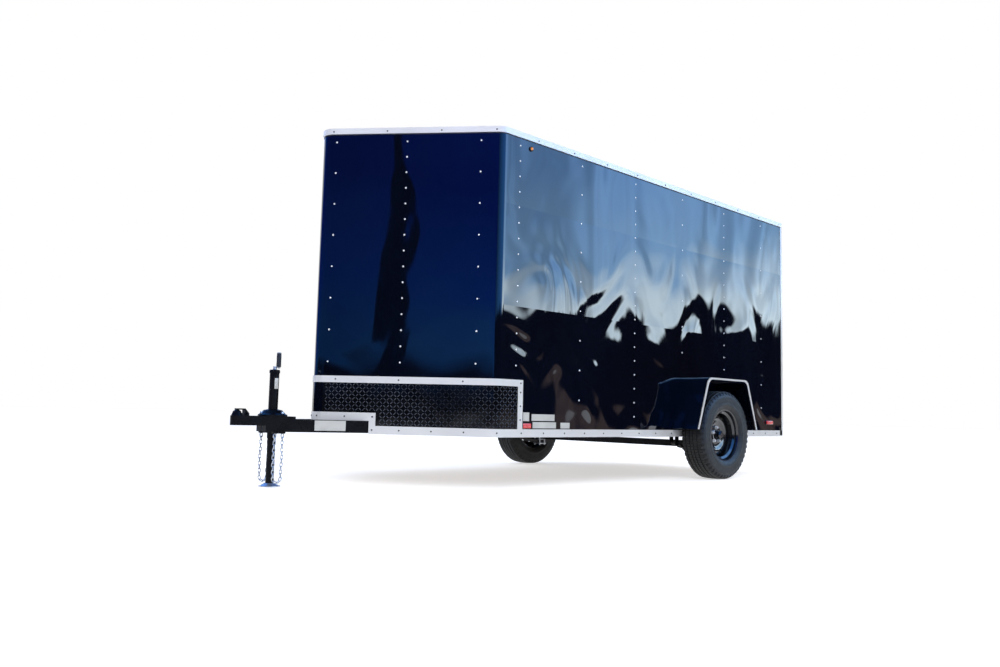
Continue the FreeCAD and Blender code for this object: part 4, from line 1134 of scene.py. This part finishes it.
def reflection_card(name, corners, stops, ragged, bright, streaks=0.0):
    """A card that only reflections see: colours up its height, and strength along one axis."""
    bm = bmesh.new()
    bm.faces.new([bm.verts.new(corner) for corner in corners])
    card = stage_piece(name, bm)
    made = Finish(name)
    made.tree.nodes.remove(made.shader)
    rise = made.maths("ADD", made.axis("Z"), made.between(made.noise(0.55, 5), 0, 1, -ragged, ragged))
    ramp = made.node("ShaderNodeValToRGB", Fac=made.between(rise, 0.0, CARD_HEIGHT))
    while len(ramp.color_ramp.elements) < len(stops):
        ramp.color_ramp.elements.new(0.5)
    for element, (height, colour) in zip(ramp.color_ramp.elements, stops):
        element.position = height / CARD_HEIGHT
        element.color = (*colour, 1)
    tall = made.between(made.noise(0.75, 2, (1, 1, 0.10)), 0.35, 0.65, 1 - streaks, 1 + streaks)
    strength = made.maths("MULTIPLY", made.between(made.axis(bright[0]), *bright[1:]), tall)
    glow = made.node("ShaderNodeEmission", Color=ramp.outputs["Color"], Strength=strength)
    made.tree.links.new(glow.outputs[0], made.tree.nodes["Material Output"].inputs["Surface"])
    card.data.materials.append(made.material)
    for ray in ("camera", "diffuse", "transmission", "shadow", "volume_scatter"):
        setattr(card, "visible_" + ray, False)


def upright(start, end):
    """Corners of an upright card between two places on the floor."""
    return [(*start, 0), (*end, 0), (*end, CARD_HEIGHT), (*start, CARD_HEIGHT)]


CARD_HEIGHT = 12.0
DARK = (0.002, 0.002, 0.004)
EARTH = (0.048, 0.036, 0.033)
make_floor()
make_world()
softbox("key", (6.0, -6.5, 6.5), (0, 0, 1.0), 6, 6, 480, (1.0, 1.0, 1.0))
softbox("fill", (-7.0, -3.0, 5.0), (0, 0, 1.0), 6, 6, 260, (1.0, 1.0, 1.0))
softbox("back", (1.5, 8.5, 6.0), (0, 0, 1.0), 6, 5, 300, (1.0, 1.0, 1.0))
reflection_card("dusk_card", upright((13, -12.5), (-70, -12.5)),
                [(0, DARK), (1.1, DARK), (1.7, (0.008, 0.058, 0.205)), (3.2, (0.001, 0.028, 0.21)),
                 (5.5, (0.0, 0.009, 0.14)), (7.5, (0.0, 0.010, 0.15)), (12, (0.01, 0.09, 0.44))],
                0.6, ("X", 4.0, 8.0, 3.3, 5.4))
reflection_card("trunk_card", upright((5.30, -12.4), (5.75, -12.4)), [(0, DARK), (12, DARK)], 0.0,
                ("X", 5, 6, 1, 1))
reflection_card("turn_card", upright((13, 3.0), (13, -12.5)),
                [(0, DARK), (2.4, DARK), (2.9, (0.05, 0.22, 0.62)), (12, (0.02, 0.12, 0.50))], 0.5,
                ("Y", -12.5, 3.0, 0.9, 5.5))
reflection_card("sky_card", upright((2.0, 13.5), (13, 3.0)),
                [(0, EARTH), (0.25, EARTH), (0.40, DARK), (2.55, DARK), (2.7, (0.70, 0.86, 0.97)),
                 (4.0, (0.23, 0.42, 0.69)), (5.6, (0.15, 0.31, 0.61)), (12, (0.06, 0.18, 0.45))],
                0.62, ("X", 4.5, 9.0, 5.2, 7.9), 0.28)
reflection_card("high_card", [(-30, -30, CARD_HEIGHT), (25, -30, CARD_HEIGHT), (25, 25, CARD_HEIGHT),
                              (-30, 25, CARD_HEIGHT)],
                [(0, (0.03, 0.20, 0.72)), (12, (0.03, 0.20, 0.72))], 0.0, ("X", -12, 0, 2.6, 1.0))

scene.view_settings.view_transform = "Standard"
